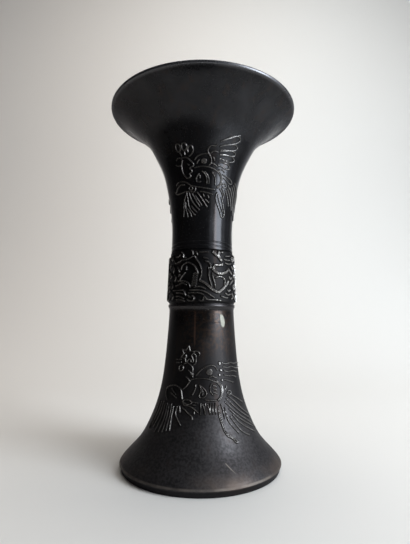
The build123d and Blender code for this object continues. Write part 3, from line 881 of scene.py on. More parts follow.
# %% Upper bird
UPPER_RADIUS = 27.0
breast_edge = [(9.8, 222.1), (12.0, 220.3), (13.3, 218.0), (13.8, 215.0), (12.9, 212.3), (10.9, 210.4)]
upper_bird = [
    [(-17.2, 231.0), (-15.4, 232.1), (-12.6, 231.6), (-10.2, 231.8), (-8.8, 230.7), (-7.4, 229.0),
     (-6.0, 227.2), (-5.6, 226.0), (-6.0, 224.6)],
    [(-14.2, 226.6), (-16.0, 226.6), (-18.0, 227.6)],
    ring(-14.1, 238.8, 1.5, 2.6),
    ring(-10.3, 238.8, 1.6, 2.5),
    [(-8.4, 235.2), (-8.0, 238.0), (-6.6, 239.2), (-5.3, 237.2), (-5.8, 234.2), (-8.0, 232.0)],
    [(-13.9, 235.8), (-12.9, 233.4)],
    [(-10.5, 235.8), (-10.6, 233.4)],
    [(-12.9, 230.0), (-13.9, 226.4), (-13.9, 222.2), (-12.4, 218.7), (-10.2, 216.5)],
    [(-5.6, 226.4), (-6.6, 224.7), (-8.3, 223.9), (-7.1, 222.3), (-7.4, 220.6), (-8.9, 219.6),
     (-8.0, 218.2), (-8.7, 217.2), (-10.2, 216.5)],
    [(-9.4, 226.8), (-8.6, 226.0)],
    [(-4.6, 229.4), (-2.8, 231.7), (-0.6, 232.9), (1.4, 233.4), (3.8, 233.3), (5.2, 231.4), (5.8, 229.0),
     (5.5, 227.0), (4.4, 225.6)],
    *filled(ring(1.1, 228.4, 1.5)),
    [(-3.4, 226.8), (-2.7, 228.2), (-1.9, 229.2)],
    [(3.9, 233.4), (3.2, 235.4), (3.7, 237.5), (5.3, 238.9), (7.3, 238.9), (8.2, 240.0)],
    [(4.4, 233.0), (5.6, 234.6), (7.4, 235.6), (9.4, 234.9)],
    [(6.6, 231.6), (7.4, 230.6), (7.8, 229.2)],
    [(6.0, 227.2), (8.0, 226.6), (9.7, 225.3)],
    [(-5.0, 223.7), (-2.4, 224.4), (1.0, 224.6), (4.4, 224.3), (7.2, 223.4), (9.8, 222.1)],
    breast_edge,
    beside(breast_edge),
    [(6.8, 220.8), (8.1, 219.0), (9.1, 216.8), (9.5, 214.4), (9.6, 211.8)],
    [(-2.3, 219.2), (-3.5, 217.4), (-4.1, 215.4), (-3.9, 213.9), (-2.6, 213.4), (-1.2, 213.6)],
    [(-2.2, 218.8), (-1.4, 217.4), (-1.6, 216.2)],
    [(0.1, 221.1), (1.4, 219.9), (2.4, 218.4), (3.0, 216.4), (3.2, 212.4)],
    [(1.8, 220.8), (3.9, 218.2), (4.8, 215.2), (4.8, 212.4)],
    [(-5.0, 210.2), (-1.0, 209.4), (4.0, 208.7), (9.4, 208.3)],
    [(-20.8, 213.0), (-18.6, 214.6), (-15.4, 214.9), (-12.4, 214.1), (-9.8, 212.4), (-7.4, 210.8),
     (-5.0, 210.2)],
    [(-21.6, 207.6), (-20.4, 209.8), (-18.4, 211.6), (-15.6, 212.8), (-13.4, 212.3)],
    ring(-8.4, 209.0, 1.4, 1.2),
    [(-4.8, 209.8), (-5.0, 208.2), (-5.3, 206.9)],
    [(-23.4, 208.6), (-21.2, 206.4), (-17.6, 206.2), (-13.4, 206.8), (-9.0, 206.8), (-5.6, 206.2)],
    [(-12.5, 204.5), (-14.4, 200.4), (-15.2, 194.1), (-15.7, 188.4)],
    [(-12.0, 206.0), (-11.3, 201.3), (-10.6, 195.5), (-8.2, 191.5), (-5.8, 188.8)],
    [(-10.0, 205.8), (-8.0, 199.7), (-4.6, 195.1), (-2.2, 192.5)],
    [(-7.6, 205.0), (-4.5, 199.5), (-1.9, 195.4)],
    [(-3.7, 205.8), (0.1, 200.7), (3.9, 194.8)],
    [(-12.0, 194.2), (-9.9, 191.0), (-8.8, 188.0)],
    [(-13.3, 199.0), (-13.4, 193.9), (-12.4, 190.4), (-11.9, 187.8)],
    [(-8.6, 195.8), (-6.6, 193.2), (-4.6, 191.2)],
    [(-5.2, 203.4), (-2.6, 199.6), (-0.2, 196.0)],
    [(2.4, 200.6), (5.2, 198.0)],
    [(-1.2, 206.4), (3.3, 205.6), (8.2, 204.6)],
    [(0.9, 204.4), (1.4, 202.6)],
    [(4.4, 203.6), (5.0, 201.8)],
    feather(10.6, 241.0, 21.2, 247.4, 4.6),
    [(11.4, 243.0), (16.6, 246.8), (20.4, 249.4)],
    feather(10.4, 238.0, 21.2, 241.2, 3.8),
    feather(10.6, 235.0, 21.4, 236.6, 3.0),
    feather(11.0, 232.2, 21.8, 232.4, 4.0),
    feather(10.6, 227.6, 19.6, 226.0, 3.6),
    [(11.6, 223.0), (13.8, 223.6), (15.8, 222.2)],
    feather(14.6, 219.4, 24.4, 215.6, 2.8),
    ring(17.1, 212.4, 1.7, 1.5),
    [(20.8, 213.4), (22.4, 211.6), (24.4, 210.8)],
    [(11.6, 206.4), (10.6, 203.0), (11.5, 199.3), (12.7, 196.7), (14.2, 194.0), (15.8, 191.0),
     (16.4, 189.2), (17.6, 188.1), (19.2, 188.8), (19.6, 191.4), (18.8, 195.0), (17.4, 199.0),
     (15.6, 203.2)],
    [(12.6, 204.6), (13.6, 200.8), (15.6, 196.8), (17.4, 192.6)],
    [(13.4, 209.4), (15.2, 207.4), (16.8, 204.8), (17.6, 202.2)],
    [(15.0, 210.2), (16.8, 208.0), (18.2, 205.2)],
    [(18.8, 209.2), (21.8, 204.2), (24.0, 198.0)],
    [(20.8, 210.6), (25.4, 203.8), (29.0, 195.8)],
    [(23.0, 212.0), (29.0, 203.8), (34.0, 192.8)],
    [(25.2, 213.4), (32.4, 204.6), (38.8, 189.8)],
    [(27.2, 215.0), (35.4, 207.0), (41.0, 197.0)],
    [(28.8, 217.2), (37.0, 211.0), (42.8, 204.0)],
]
print("upper bird:", len(upper_bird), "lines")

# %% [markdown]
# The lower bird is the larger one, on the skirt of the foot. It wears a star-shaped flower on its head, has a
# ring round the eye, and its body sits on a row of upright feathers. The wing on the left is folded, and the
# tail sweeps down and out to the right. Its lower feathers are drawn on a wider radius, where the skirt is.

# %% Lower bird
LOWER_RADIUS = 30.0
SKIRT_RADIUS = 42.0


def star(x, z, outer, inner, tips, start):
    points = []
    for i in range(2 * tips + 1):
        reach = inner if i % 2 else outer
        angle = math.radians(start) + i * math.pi / tips
        points.append((x + reach * math.cos(angle), z + reach * math.sin(angle)))
    return [points[i:i + 2] for i in range(2 * tips)]


body_edge = [(10.8, 65.6), (12.8, 64.2), (14.3, 61.9), (14.5, 58.6), (13.5, 55.4), (11.6, 53.4)]
tail_edge = [(16.4, 49.3), (15.5, 44.6), (16.8, 39.0), (18.2, 33.6), (21.1, 30.0), (23.8, 28.4),
             (26.0, 25.9), (27.9, 26.7)]
lower_bird = [
    *star(-10.6, 84.5, 6.2, 3.3, 6, 22.0),
    [(-11.8, 84.2), (-11.6, 82.2)],
    [(-6.2, 86.7), (-4.4, 87.1), (-2.6, 86.8), (-1.4, 86.0), (-1.0, 85.0), (-1.7, 84.1)],
    [(-5.5, 85.3), (-4.5, 84.7)],
    [(-3.9, 84.0), (-3.8, 82.0), (-3.7, 80.0), (-4.0, 78.5), (-4.8, 77.6), (-5.7, 77.2)],
    ring(-6.7, 80.2, 1.1),
    [(-20.6, 80.4), (-18.2, 80.8), (-15.9, 81.0)],
    [(-20.5, 78.5), (-18.0, 78.7), (-15.6, 78.9)],
    ring(-15.5, 74.8, 1.9),
    [(-13.2, 77.6), (-11.2, 78.9), (-8.8, 78.0), (-7.0, 76.6), (-5.9, 74.6), (-6.0, 72.4), (-5.8, 70.2)],
    [(-9.6, 73.7), (-8.0, 72.7), (-6.8, 71.0), (-5.8, 69.2)],
    [(-10.8, 68.8), (-9.4, 67.9), (-8.0, 66.2)],
    [(-12.6, 60.2), (-10.3, 62.2), (-8.4, 65.0), (-7.3, 66.6), (-5.0, 67.7), (-1.6, 68.2), (2.0, 68.1),
     (5.4, 67.5), (8.4, 66.6), (10.8, 65.6)],
    body_edge,
    beside(body_edge),
    [(6.4, 69.0), (8.3, 69.4), (10.2, 68.8), (12.0, 68.0)],
    [(-3.6, 69.8), (-1.1, 72.6), (0.8, 74.4), (3.4, 76.0), (6.4, 77.0), (9.2, 76.9), (11.2, 75.8),
     (12.4, 73.9)],
    *filled(ring(6.4, 72.5, 2.0)),
    [(-3.4, 63.5), (-3.6, 61.4), (-4.3, 59.3), (-5.4, 57.0)],
    [(-0.8, 63.5), (0.1, 61.4), (0.1, 59.0), (-1.0, 56.6), (-0.2, 55.2), (1.6, 55.1), (3.3, 56.2),
     (4.0, 57.8), (3.2, 60.0), (1.5, 61.9), (-0.8, 63.5)],
    [(1.2, 60.6), (1.6, 58.4), (1.2, 56.6)],
    [(7.9, 64.6), (6.8, 62.6), (6.5, 60.4), (7.1, 58.4), (8.6, 56.8)],
    *[[(8.9, z), (11.2, z - 0.8)] for z in (63.2, 60.9, 58.6)],
    [(2.8, 53.8), (6.4, 53.1), (10.6, 53.2)],
    boss(14.8, 78.3, 2.0),
    boss(15.6, 73.5, 1.4),
    boss(14.2, 70.1, 1.2),
    boss(16.2, 66.5, 1.2),
    [(17.0, 78.6), (21.0, 77.6), (25.0, 78.2), (30.0, 77.2), (36.0, 77.4), (41.0, 76.6)],
    [(18.0, 75.8), (22.0, 74.9), (26.0, 75.4), (31.0, 74.2), (40.6, 73.8)],
    [(18.4, 73.0), (22.4, 72.0), (26.4, 72.3), (33.6, 70.8)],
    [(18.4, 70.0), (22.6, 69.0), (26.6, 68.8), (31.6, 67.2)],
    [(18.2, 66.8), (22.0, 65.6), (26.8, 64.0)],
    ring(21.3, 57.5, 1.6, 1.4),
    [(15.4, 63.4), (16.0, 60.6), (15.6, 57.8)],
    [(16.2, 60.2), (18.6, 60.4), (19.4, 62.2)],
    *[[(x, 51.4), (x - 0.1, 48.0), (x - 0.2, 44.6)] for x in (0.2, 3.1, 6.1, 7.7, 9.5)],
    *[[(x, 51.0), (x + 0.9, 48.0), (x + 1.3, 45.2)] for x in (1.4, 4.4)],
]
skirt_feathers = [
    [(-39.2, 59.0), (-37.0, 60.6), (-32.0, 61.9), (-26.0, 62.5), (-22.4, 61.5), (-20.0, 60.0),
     (-18.6, 57.6), (-17.2, 53.8)],
    [(-39.4, 58.6), (-38.8, 56.0), (-37.0, 53.6), (-34.8, 52.0)],
    [(-31.4, 57.0), (-27.2, 55.6), (-23.8, 54.2)],
    [(-31.0, 60.0), (-28.0, 58.2), (-25.0, 56.4)],
    [(-16.6, 52.2), (-15.0, 53.4), (-11.8, 53.5), (-9.0, 52.8), (-8.1, 51.6), (-9.6, 50.8), (-13.0, 50.8),
     (-16.6, 52.2)],
    [(-16.2, 51.2), (-14.4, 50.0), (-10.6, 49.6), (-7.2, 48.6), (-4.0, 46.9), (-1.8, 45.4)],
    [(-16.2, 48.2), (-13.0, 46.6), (-10.0, 44.7), (-7.2, 43.2), (-6.2, 41.2)],
    [(-7.6, 52.3), (-5.0, 52.0), (-2.6, 51.7)],
    [(-7.0, 50.4), (-4.6, 50.2)],
    [(-5.2, 46.4), (-5.0, 44.6)],
    [(-19.2, 49.2), (-18.2, 47.2), (-17.8, 45.2)],
    [(-20.8, 48.6), (-21.6, 43.9), (-18.1, 39.9), (-15.8, 37.5)],
    [(-25.0, 48.4), (-24.9, 42.0), (-24.2, 35.7), (-23.7, 33.5)],
    [(-27.8, 49.6), (-26.9, 41.8), (-27.0, 35.4), (-26.8, 32.7)],
    [(-30.4, 48.8), (-29.8, 41.4), (-29.9, 34.2), (-30.2, 31.5)],
    [(-33.2, 49.8), (-32.4, 41.9), (-33.2, 35.3), (-34.2, 31.0)],
    [(-35.8, 49.2), (-36.0, 42.2), (-37.1, 36.2), (-38.3, 30.3)],
    [(-38.8, 50.6), (-39.6, 43.0), (-41.4, 36.4), (-42.4, 32.6)],
    [(-42.4, 49.6), (-43.4, 43.6), (-45.2, 36.8), (-45.6, 33.4)],
    [(-46.6, 49.7), (-47.3, 43.0), (-48.6, 35.8), (-48.8, 30.6)],
    tail_edge,
    beside(tail_edge[1:7]),
    [(22.0, 48.0), (22.3, 44.6), (23.9, 38.6), (27.6, 34.2), (30.2, 31.3)],
    [(18.7, 50.4), (19.9, 46.0), (20.3, 41.4)],
    [(29.9, 57.0), (39.0, 53.0), (48.0, 49.2)],
    [(27.1, 55.4), (34.3, 51.4), (43.1, 45.2), (55.0, 39.2)],
    [(25.2, 53.6), (32.4, 48.4), (41.4, 42.8), (54.0, 36.6)],
    [(23.4, 51.6), (30.6, 46.2), (39.8, 40.3), (51.5, 34.0), (58.0, 29.4)],
    [(26.6, 46.6), (34.0, 41.0), (42.0, 36.4), (53.0, 31.2)],
    [(29.0, 42.6), (35.1, 36.8), (42.7, 32.3), (52.0, 27.8)],
    [(26.1, 41.8), (30.2, 36.0), (35.6, 30.6), (40.7, 28.2)],
]
lower_bird += [[(x * LOWER_RADIUS / SKIRT_RADIUS, z) for x, z in line] for line in skirt_feathers]
print("lower bird:", len(lower_bird), "lines")

# %% [markdown]
# Each bird is cast on its wall twice, on the front and half a turn round on the back. The node tree gets the
# drawing as a thin wire object on the wall, makes the raised piece, and the wire goes away again.

# %% Birds on their walls
CORD_HALF_WIDTH = 0.78 * MM
CORD_HEIGHT = 0.98 * MM
PATCH_MARGIN = 2.0
UPPER_CELL, LOWER_CELL = 0.30 * MM, 0.32 * MM


def raised_bird(name, drawing, radius, wall_piece, wall, turn, cell):
    points, edges, turns, levels = on_wall(drawing, radius, wall, turn)
    wire = piece_from(name + "_wire", points, edges)
    piece = piece_from(name, [], [])
    widest = float(np.interp(levels, wall[:, 1], wall[:, 0]).max())
    run_tree(piece, "raised lines", **{
        "Wall": wall_piece, "Drawing": wire, "Material": line_bronze, "Radius": widest * MM,
        "Half Width": CORD_HALF_WIDTH, "Height": CORD_HEIGHT, "Cell": cell,
        "Turn Low": turns[0] - PATCH_MARGIN / radius, "Turn High": turns[1] + PATCH_MARGIN / radius,
        "Level Low": (levels[0] - PATCH_MARGIN) * MM, "Level High": (levels[1] + PATCH_MARGIN) * MM})
    bpy.data.objects.remove(wire)
    return piece


birds = {}
for side, turn in (("front", 0.0), ("back", math.pi)):
    birds["upper_phoenix_" + side] = raised_bird(
        "upper_bird_" + side, upper_bird, UPPER_RADIUS, mouth, mouth_wall, turn, UPPER_CELL)
    birds["lower_phoenix_" + side] = raised_bird(
        "lower_bird_" + side, lower_bird, LOWER_RADIUS, foot, foot_wall, turn, LOWER_CELL)

# %% [markdown]
# The band's scrolls show a dragon's coils among clouds. The front view holds one half of the pattern and the
# back the other half, so the drawing covers half a turn and is laid on twice. The largest ridges are broad,
# so each of them is drawn as two lines side by side.

# %% Scrolls of the band
BAND_RADIUS = 26.5
broad_lines = [
    [(-1.6, 138.3), (1.6, 136.7), (4.8, 134.3), (7.6, 131.9), (10.2, 130.4), (12.8, 129.9), (16.0, 131.5),
     (19.4, 134.2), (21.8, 136.6), (23.2, 138.7)],
    [(8.4, 160.2), (10.6, 158.4), (13.2, 157.1)],
    [(13.2, 157.1), (14.2, 159.0), (14.6, 161.2)],
    [(13.2, 157.1), (14.4, 155.6), (15.8, 153.8)],
    [(9.7, 150.2), (13.4, 150.2), (17.4, 150.8)],
    [(9.7, 149.9), (8.7, 148.2), (9.1, 146.2), (11.2, 144.7), (14.6, 143.6), (18.2, 144.4), (21.0, 145.2),
     (22.8, 147.2)],
]
dragon_scale = [(-7.3, 134.4), (-5.6, 135.2), (-4.1, 134.3)]
SCALES, SCALE_LEAN, SCALE_RISE = 7, 0.2, 1.5
scrolls = [
    *broad_lines,
    *[beside(line) for line in broad_lines],
    [(-5.3, 157.2), (-4.2, 154.9), (-2.4, 152.4), (-0.8, 149.4), (0.0, 145.6), (-0.4, 141.6), (-1.6, 138.6)],
    [(-7.8, 161.4), (-6.7, 160.0), (-6.6, 158.4)],
    [(-4.4, 160.2), (-3.4, 159.0), (-3.1, 157.8)],
    [(-16.6, 147.0), (-15.6, 149.6), (-13.4, 151.6), (-10.6, 152.4), (-8.0, 151.5), (-5.4, 149.5),
     (-3.8, 146.9), (-2.4, 143.7)],
    [(-11.8, 149.4), (-11.8, 146.8)],
    [(-16.8, 160.8), (-15.3, 159.4), (-14.6, 157.6), (-14.7, 156.3), (-12.8, 156.2)],
    [(-18.4, 152.8), (-16.6, 154.0), (-14.2, 154.5), (-11.8, 154.5), (-9.2, 155.5), (-6.9, 156.8)],
    [(23.6, 148.6), (25.6, 146.8), (28.0, 144.8)],
    [(8.2, 144.4), (8.3, 142.6), (9.3, 139.2), (10.2, 135.8), (10.4, 133.6)],
    [(5.4, 148.6), (5.6, 145.4), (5.5, 142.4), (6.2, 139.2), (7.6, 134.4)],
    [(10.9, 141.0), (13.0, 141.8), (16.4, 141.8), (18.6, 140.4), (19.2, 138.4), (18.4, 136.2)],
    [(16.2, 160.6), (17.8, 160.4)],
    [(1.6, 155.8), (4.6, 155.2)],
    [(-1.4, 160.0), (2.0, 160.2), (5.2, 160.0)],
    [(2.8, 153.2), (5.0, 152.6), (6.6, 150.4), (7.0, 147.6)],
    [(20.6, 157.9), (23.0, 158.3), (26.0, 158.6)],
    [(18.8, 155.4), (22.4, 155.0), (25.6, 155.6)],
    [(20.2, 152.8), (23.8, 152.2), (27.2, 153.0)],
    [(25.0, 136.4), (27.2, 138.4), (30.4, 140.2)],
    [(24.2, 142.6), (26.0, 140.8), (28.0, 142.0)],
    [(22.0, 132.2), (23.4, 131.2), (24.6, 132.6)],
    [(19.6, 129.6), (22.4, 128.4), (25.2, 129.2)],
    [(27.6, 129.6), (28.8, 127.2), (26.8, 125.4)],
    [(15.4, 127.4), (18.4, 126.4), (21.6, 126.2)],
    [(-1.6, 124.0), (0.6, 123.4), (2.1, 126.7), (3.8, 125.1), (6.2, 124.3), (10.4, 124.4), (15.0, 123.9)],
    [(-8.8, 131.4), (-4.0, 131.5), (0.6, 131.0), (4.4, 129.3), (7.2, 127.5), (9.6, 125.8)],
    [(-5.6, 133.4), (-1.0, 134.0), (2.8, 132.4)],
    [(-9.8, 129.3), (-5.6, 129.6), (-1.6, 129.4), (1.4, 128.2)],
    [(-10.0, 127.6), (-9.0, 126.5), (-7.8, 126.1)],
    [(-6.8, 127.4), (-5.6, 126.3), (-5.4, 124.8), (-6.6, 123.5), (-8.6, 123.4), (-10.6, 124.6)],
    [(-13.4, 130.7), (-12.4, 129.2), (-11.7, 127.5)],
    [(-16.8, 138.5), (-13.6, 138.4), (-10.6, 137.2), (-9.0, 135.6), (-8.4, 133.5)],
    [(-22.2, 134.9), (-19.0, 135.4), (-16.4, 136.7), (-13.8, 136.9), (-11.6, 135.6)],
    [(-20.0, 139.2), (-18.4, 138.4), (-16.4, 140.7), (-14.6, 142.8), (-12.9, 144.6)],
    [(-18.9, 142.2), (-17.6, 143.2)],
    [(-24.6, 131.4), (-19.0, 131.6), (-14.2, 131.5)],
    [(-20.6, 129.5), (-16.8, 129.5), (-13.8, 128.7)],
    [(-21.0, 126.9), (-17.2, 126.9), (-13.6, 125.2)],
    [(-20.4, 124.4), (-16.4, 124.6), (-12.6, 123.4)],
    *[[(x + SCALE_LEAN * i, z + SCALE_RISE * i) for x, z in dragon_scale] for i in range(SCALES)],
    [(-20.6, 149.4), (-18.6, 147.4), (-18.2, 145.4)],
    [(-22.4, 157.4), (-19.6, 157.2), (-18.0, 158.6)],
    [(-24.8, 154.6), (-23.2, 152.4), (-20.4, 152.8), (-17.2, 154.0)],
    [(-26.4, 150.6), (-24.4, 148.0), (-25.6, 145.2)],
    [(-23.6, 143.6), (-21.6, 141.2), (-22.8, 138.8)],
    [(-27.4, 137.6), (-25.2, 135.4), (-26.8, 133.2)],
    [(-26.4, 129.4), (-24.2, 127.4), (-25.4, 124.8)],
    curl(-29.2, 157.0, 2.6, 300.0, 1.2),
    curl(-30.2, 143.8, 2.8, 340.0, -1.2),
    curl(-31.0, 132.4, 2.8, 40.0, 1.2),
    [(-30.0, 151.6), (-32.6, 149.8), (-34.6, 151.2)],
    [(-29.4, 126.0), (-32.6, 124.4), (-36.2, 124.6)],
    curl(-35.2, 145.4, 2.6, 300.0, -1.2),
    curl(-35.0, 156.6, 2.4, 250.0, 1.2),
    [(-33.0, 138.6), (-35.0, 136.6), (-36.4, 138.4)],
    curl(-36.2, 130.8, 2.4, 200.0, -1.2),
    [(-38.0, 157.6), (-39.6, 153.6), (-38.4, 149.0), (-39.8, 143.2), (-38.6, 137.4), (-40.0, 131.0),
     (-38.8, 124.4)],
    curl(30.6, 156.2, 2.6, 200.0, -1.2),
    [(28.4, 150.8), (30.4, 149.0), (32.8, 150.2)],
    curl(32.4, 144.2, 2.6, 100.0, -1.2),
    curl(32.0, 134.4, 2.8, 20.0, 1.2),
    [(31.0, 127.8), (33.0, 125.6), (35.6, 126.4)],
    curl(35.6, 151.6, 2.2, 140.0, 1.2),
    [(34.6, 160.0), (36.2, 158.0), (35.0, 156.2)],
    [(35.6, 141.8), (36.8, 139.4), (35.4, 137.4)],
    curl(36.2, 131.0, 2.2, 60.0, -1.2),
    [(38.0, 157.8), (39.8, 153.8), (38.6, 148.6), (39.8, 142.4), (38.6, 136.2), (40.0, 130.2), (38.6, 124.0)],
]
print("band:", len(scrolls), "lines on each half")

# %% [markdown]
# The band itself is a sleeve that narrows a little towards the top, with soft ends. The lathe turns it with
# many rows and steps, because the scrolls are lifted out of this one mesh and need fine faces to stand on.

# %% Band
BAND_BORE = 23.0
BAND_FOOT_RADIUS = 26.6
BAND_TOP_RADIUS = 25.1
BAND_BEVEL = 0.6
BAND_LOW_INSET, BAND_TOP_INSET = 0.5, 0.6
BAND_ROUNDING = 0.9
BAND_STEPS = 560
BAND_ROW = 0.32
SCROLL_HALF_WIDTH = 0.80 * MM
SCROLL_HEIGHT = 1.35 * MM
SLEEVE_CORE = (BAND_BORE + 0.7) * MM


def band_outline(height):
    share = (height - band_low) / (mouth_low - band_low)
    inset = BAND_ROUNDING * math.exp(-(min(height - band_low, mouth_low - height) / BAND_ROUNDING) ** 2)
    return BAND_FOOT_RADIUS + share * (BAND_TOP_RADIUS - BAND_FOOT_RADIUS) - inset


band_levels = np.arange(band_low + BAND_BEVEL, mouth_low - BAND_BEVEL / 2, BAND_ROW)
band_wall = np.array([(band_outline(level), level) for level in band_levels])
band_section = [
    (BAND_BORE, band_low),
    (band_wall[0][0] - BAND_LOW_INSET, band_low),
    *[tuple(point) for point in band_wall],
    (band_wall[-1][0] - BAND_TOP_INSET, mouth_low),
    (BAND_BORE, mouth_low),
]
band = turned_piece("scroll_band", band_section, band_bronze, BAND_STEPS)
halves = [on_wall(scrolls, BAND_RADIUS, band_wall, turn) for turn in (0.0, math.pi)]
first = len(halves[0][0])
scroll_wire = piece_from("scroll_wire", halves[0][0] + halves[1][0],
                         halves[0][1] + [(a + first, b + first) for a, b in halves[1][1]])
run_tree(band, "scrolls", **{
    "Drawing": scroll_wire, "Material": band_bronze, "Half Width": SCROLL_HALF_WIDTH,
    "Height": SCROLL_HEIGHT, "Outer Radius": SLEEVE_CORE})
bpy.data.objects.remove(scroll_wire)

# %% [markdown]
# The plug is a lens about ten millimetres long, rounder on its right side, hammered nearly flush with the
# wall. It is small enough to write as a grid of points: across the lens, along it, and slightly domed. The
# same grid, pushed into the wall, closes it from behind. At both tips the grid shrinks to a point, so its
# doubles are welded.

# %% Plug
PLUG_ANGLE = math.radians(36.0)
PLUG_HEIGHT = band_low - 13.0
PLUG_HALF_LENGTH = 5.2
PLUG_RIGHT = 3.2
PLUG_LEFT = 1.6
PLUG_LEAN = 0.8
PLUG_ACROSS, PLUG_ALONG = 14, 30
PLUG_DOME = 0.32
PLUG_RIM_DROP = 0.06
PLUG_SINK = 0.8


def plug_place(i, j):
    """How far across and along the lens a point of its grid lies, from -1 to 1."""
    return -1 + 2 * i / PLUG_ACROSS, -1 + 2 * j / PLUG_ALONG


def plug_point(i, j, lift):
    across, along = plug_place(i, j)
    reach = (PLUG_RIGHT if across > 0 else PLUG_LEFT) * math.sqrt(max(0.0, 1 - along * along))
    level = PLUG_HEIGHT + along * PLUG_HALF_LENGTH
    wall = float(np.interp(level, foot_wall[:, 1], foot_wall[:, 0]))
    angle = PLUG_ANGLE + (across * reach - along * PLUG_LEAN) / wall
    dome = lift * (1 - max(abs(across), abs(along)) ** 4) - PLUG_RIM_DROP
    radius = wall + dome if lift > 0 else wall + lift
    return radius * math.sin(angle) * MM, -radius * math.cos(angle) * MM, level * MM


def plug_faces(wide, high):
    """The domed front, the same grid behind it turned round, and a wall between their borders."""
    back = wide * high
    faces = []
    for j in range(PLUG_ALONG):
        for i in range(PLUG_ACROSS):
            a = j * wide + i
            quad = [a, a + 1, a + wide + 1, a + wide]
            faces.append(quad)
            faces.append([back + k for k in reversed(quad)])
    loop = list(range(wide)) + [j * wide + PLUG_ACROSS for j in range(1, high)]
    loop += [PLUG_ALONG * wide + i for i in range(PLUG_ACROSS - 1, -1, -1)]
    loop += [j * wide for j in range(PLUG_ALONG - 1, 0, -1)]
    for a, b in zip(loop, loop[1:] + loop[:1]):
        faces.append([a, back + a, back + b, b])
    return faces


def plug_piece():
    points, rims = [], []
    wide, high = PLUG_ACROSS + 1, PLUG_ALONG + 1
    for lift in (PLUG_DOME, -PLUG_SINK):
        for j in range(high):
            for i in range(wide):
                points.append(plug_point(i, j, lift))
                rims.append(max(map(abs, plug_place(i, j))))
    mesh = bpy.data.meshes.new("white_metal_plug")
    mesh.from_pydata(points, [], plug_faces(wide, high))
    mesh.attributes.new("rim", "FLOAT", "POINT").data.foreach_set("value", rims)
    mesh.shade_smooth()
    mesh.materials.append(plug_metal)
    piece = bpy.data.objects.new("white_metal_plug", mesh)
    bpy.context.scene.collection.objects.link(piece)
    weld = piece.modifiers.new("weld", "WELD")
    weld.merge_threshold = TINY
    welded = piece.evaluated_get(bpy.context.evaluated_depsgraph_get())
    piece.data = bpy.data.meshes.new_from_object(welded)
    piece.modifiers.clear()
    return piece


plug = plug_piece()
print("plug has", len(plug.data.polygons), "faces")

# %% [markdown]
# Every new piece is tied to the vase, and the solid that it stands for is hidden, so that the dressed model
# and the solids stay one object.

# %% Pieces and their solids
stands_for = {"mouth_trumpet": (mouth, "bronze"), "foot_trumpet": (foot, "bronze_foot"),
              "central_band": (band, "bronze_band"), "core_plug": (plug, "plug")}
stands_for.update({node: (piece, "bronze_relief") for node, piece in birds.items()})
for node, (piece, slot) in stands_for.items():
    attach(piece, "root")
    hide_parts(node)
print(len(stands_for), "pieces on the vase")

# %% [markdown]
# The vase stands on a pale sheet that sweeps up behind it without a corner, as in a product studio. One sheet
# bent in mesh code is enough. It is pale in its own colour, with painted shade that makes it a little darker
# and warmer on the left, away from the window. Its front end, which the camera doesn't see, is painted dark
# as shade, because a pale one would light the underside of the mouth.

# %% Floor and backdrop
SWEEP_FLAT = 0.3
SWEEP_BACK = 0.35
SWEEP_RADIUS = 0.95
SWEEP_TOP = 1.9
SWEEP_HALF_WIDTH = 2.2
SWEEP_FRONT = -0.62
SWEEP_STEPS = 16
SHEET_LEFT_SHADED, SHEET_RIGHT = (0.685, 0.645, 0.602, 1), (0.74, 0.74, 0.722, 1)
SHEET_PAINTED_SHADE = (0.12, 0.115, 0.11, 1)
SIDE_SHADE_SPAN, FRONT_SHADE_SPAN = (-0.65, 0.75), (-0.24, -0.44)


def pale_sheet():
    made = Finish("pale_sheet")
    # Darker and warmer towards the left, away from the window: painted shade.
    side = made.nodes.ramp(made.x + made.noise(scale=2.0, detail=2.0) * 0.1, *SIDE_SHADE_SPAN)
    made.colour = mixed(made.nodes, side, SHEET_LEFT_SHADED, SHEET_RIGHT)
    # Painted shade on the front of the sheet, where the camera's side of the room is dim.
    made.lay(made.nodes.ramp(made.y + made.x * 0.5, *FRONT_SHADE_SPAN), SHEET_PAINTED_SHADE)
    made.set(Base_Color=made.colour, Roughness=0.75)
    return made.material


def sweep():
    profile = [(SWEEP_FRONT, 0.0), (0.0, 0.0), (SWEEP_FLAT, 0.0)]
    for angle in np.linspace(0, math.pi / 2, SWEEP_STEPS):
        profile.append((SWEEP_BACK + SWEEP_RADIUS * math.sin(angle), SWEEP_RADIUS * (1 - math.cos(angle))))
    profile.append((SWEEP_BACK + SWEEP_RADIUS, SWEEP_TOP))
    points = [(x, y, z) for x in (-SWEEP_HALF_WIDTH, SWEEP_HALF_WIDTH) for y, z in profile]
    count = len(profile)
    faces = [[i, count + i, count + i + 1, i + 1] for i in range(count - 1)]
    mesh = bpy.data.meshes.new("sweep")
    mesh.from_pydata(points, [], faces)
    mesh.shade_smooth()
    mesh.materials.append(pale_sheet())
    sheet = bpy.data.objects.new("sweep", mesh)
    bpy.context.scene.collection.objects.link(sheet)
    return sheet


sweep()
print("the sheet rises to", SWEEP_TOP, "m")

# %% [markdown]
# A tall window stands to the right and in front. On the dark metal it draws the bright upright strip that
# tells the eye how round and how smooth the walls are. A wider, weaker lamp behind it softens the strip's
# sides. One lamp overhead lights the floor, and one shines on the backdrop alone. The rest is dim on the
# camera's side, which is what makes the front of the vase look black.

# %% Light
def window(name, place, aim, size, power, colour):
    lamp = bpy.data.lights.new(name, "AREA")
    lamp.shape = "RECTANGLE"
    lamp.size, lamp.size_y = size
    lamp.energy = power
    lamp.color = colour
    holder = bpy.data.objects.new(name, lamp)
    bpy.context.scene.collection.objects.link(holder)
    holder.location = place
    ahead = np.array(aim) - np.array(place)
    tilt = math.atan2(math.hypot(ahead[0], ahead[1]), -ahead[2])
    holder.rotation_euler = (tilt, 0.0, math.atan2(-ahead[0], ahead[1]))
    print(name, "gives", power, "W")


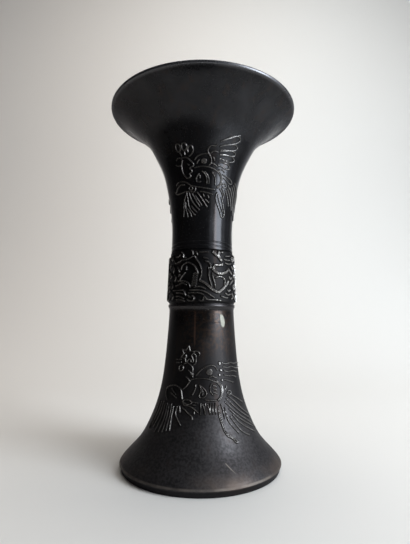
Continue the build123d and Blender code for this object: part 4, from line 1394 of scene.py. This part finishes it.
MIDDLE = (0.0, 0.0, 0.16)
window("tall_window", place=(1.05, -0.58, 0.50), aim=MIDDLE, size=(0.62, 1.1), power=24.0,
       colour=(0.86, 0.93, 1.0))
window("window_wall", place=(1.15, -0.64, 0.60), aim=MIDDLE, size=(1.7, 1.7), power=9.5,
       colour=(0.90, 0.95, 1.0))
window("ceiling_glow", place=(0.12, 0.32, 1.85), aim=(0.12, 0.32, 0.0), size=(1.1, 0.9), power=10.7,
       colour=(1.0, 0.96, 0.90))
window("wall_glow", place=(0.25, 0.0, 1.15), aim=(0.12, 1.2, 0.80), size=(1.2, 0.6), power=5.3,
       colour=(1.0, 0.97, 0.94))

# %% [markdown]
# What surrounds the vase also shows in it, and a world that changes with the direction is enough for that. It
# is dim in front and on the left, brighter on the right, where the window is, and brightest at the back.

# %% Surroundings
DIM, WINDOW_SIDE, BACK_SIDE = (0.060, 0.058, 0.059, 1), (0.34, 0.36, 0.39, 1), (0.48, 0.47, 0.46, 1)
world = bpy.data.worlds.new("room")
bpy.context.scene.world = world
world.use_nodes = True
room = Nodes(world.node_tree)
_, to_right, to_back, _ = where(room, "Generated")
glow = mixed(room, room.ramp(to_right, 0.2, 0.95), DIM, WINDOW_SIDE)
glow = mixed(room, room.ramp(to_back, 0.2, 0.9), glow, BACK_SIDE)
world.node_tree.links.new(glow.socket, world.node_tree.nodes["Background"].inputs["Color"])
print("surroundings take", len(world.node_tree.nodes), "nodes")

# %% [markdown]
# The camera is held about a third of a metre away and a little below the middle of the vase, tilted up: the
# lip is seen from below and the foot from above. Its place was worked out from those two ellipses.

# %% Camera
LENS = 26.15
SENSOR = 36.0
NEAR_LIMIT = 0.01
EYE = (0.0028, -0.3181, 0.1110)
TILT, ROLL = math.radians(96.63), math.radians(-0.345)
camera = bpy.data.cameras.new("camera")
camera.lens = LENS
camera.sensor_width = SENSOR
camera.clip_start = NEAR_LIMIT
eye = bpy.data.objects.new("camera", camera)
bpy.context.scene.collection.objects.link(eye)
eye.location = EYE
eye.rotation_euler = (TILT, ROLL, 0.0)
bpy.context.scene.camera = eye
bpy.context.scene.view_settings.view_transform = "Standard"
print("camera at", EYE)
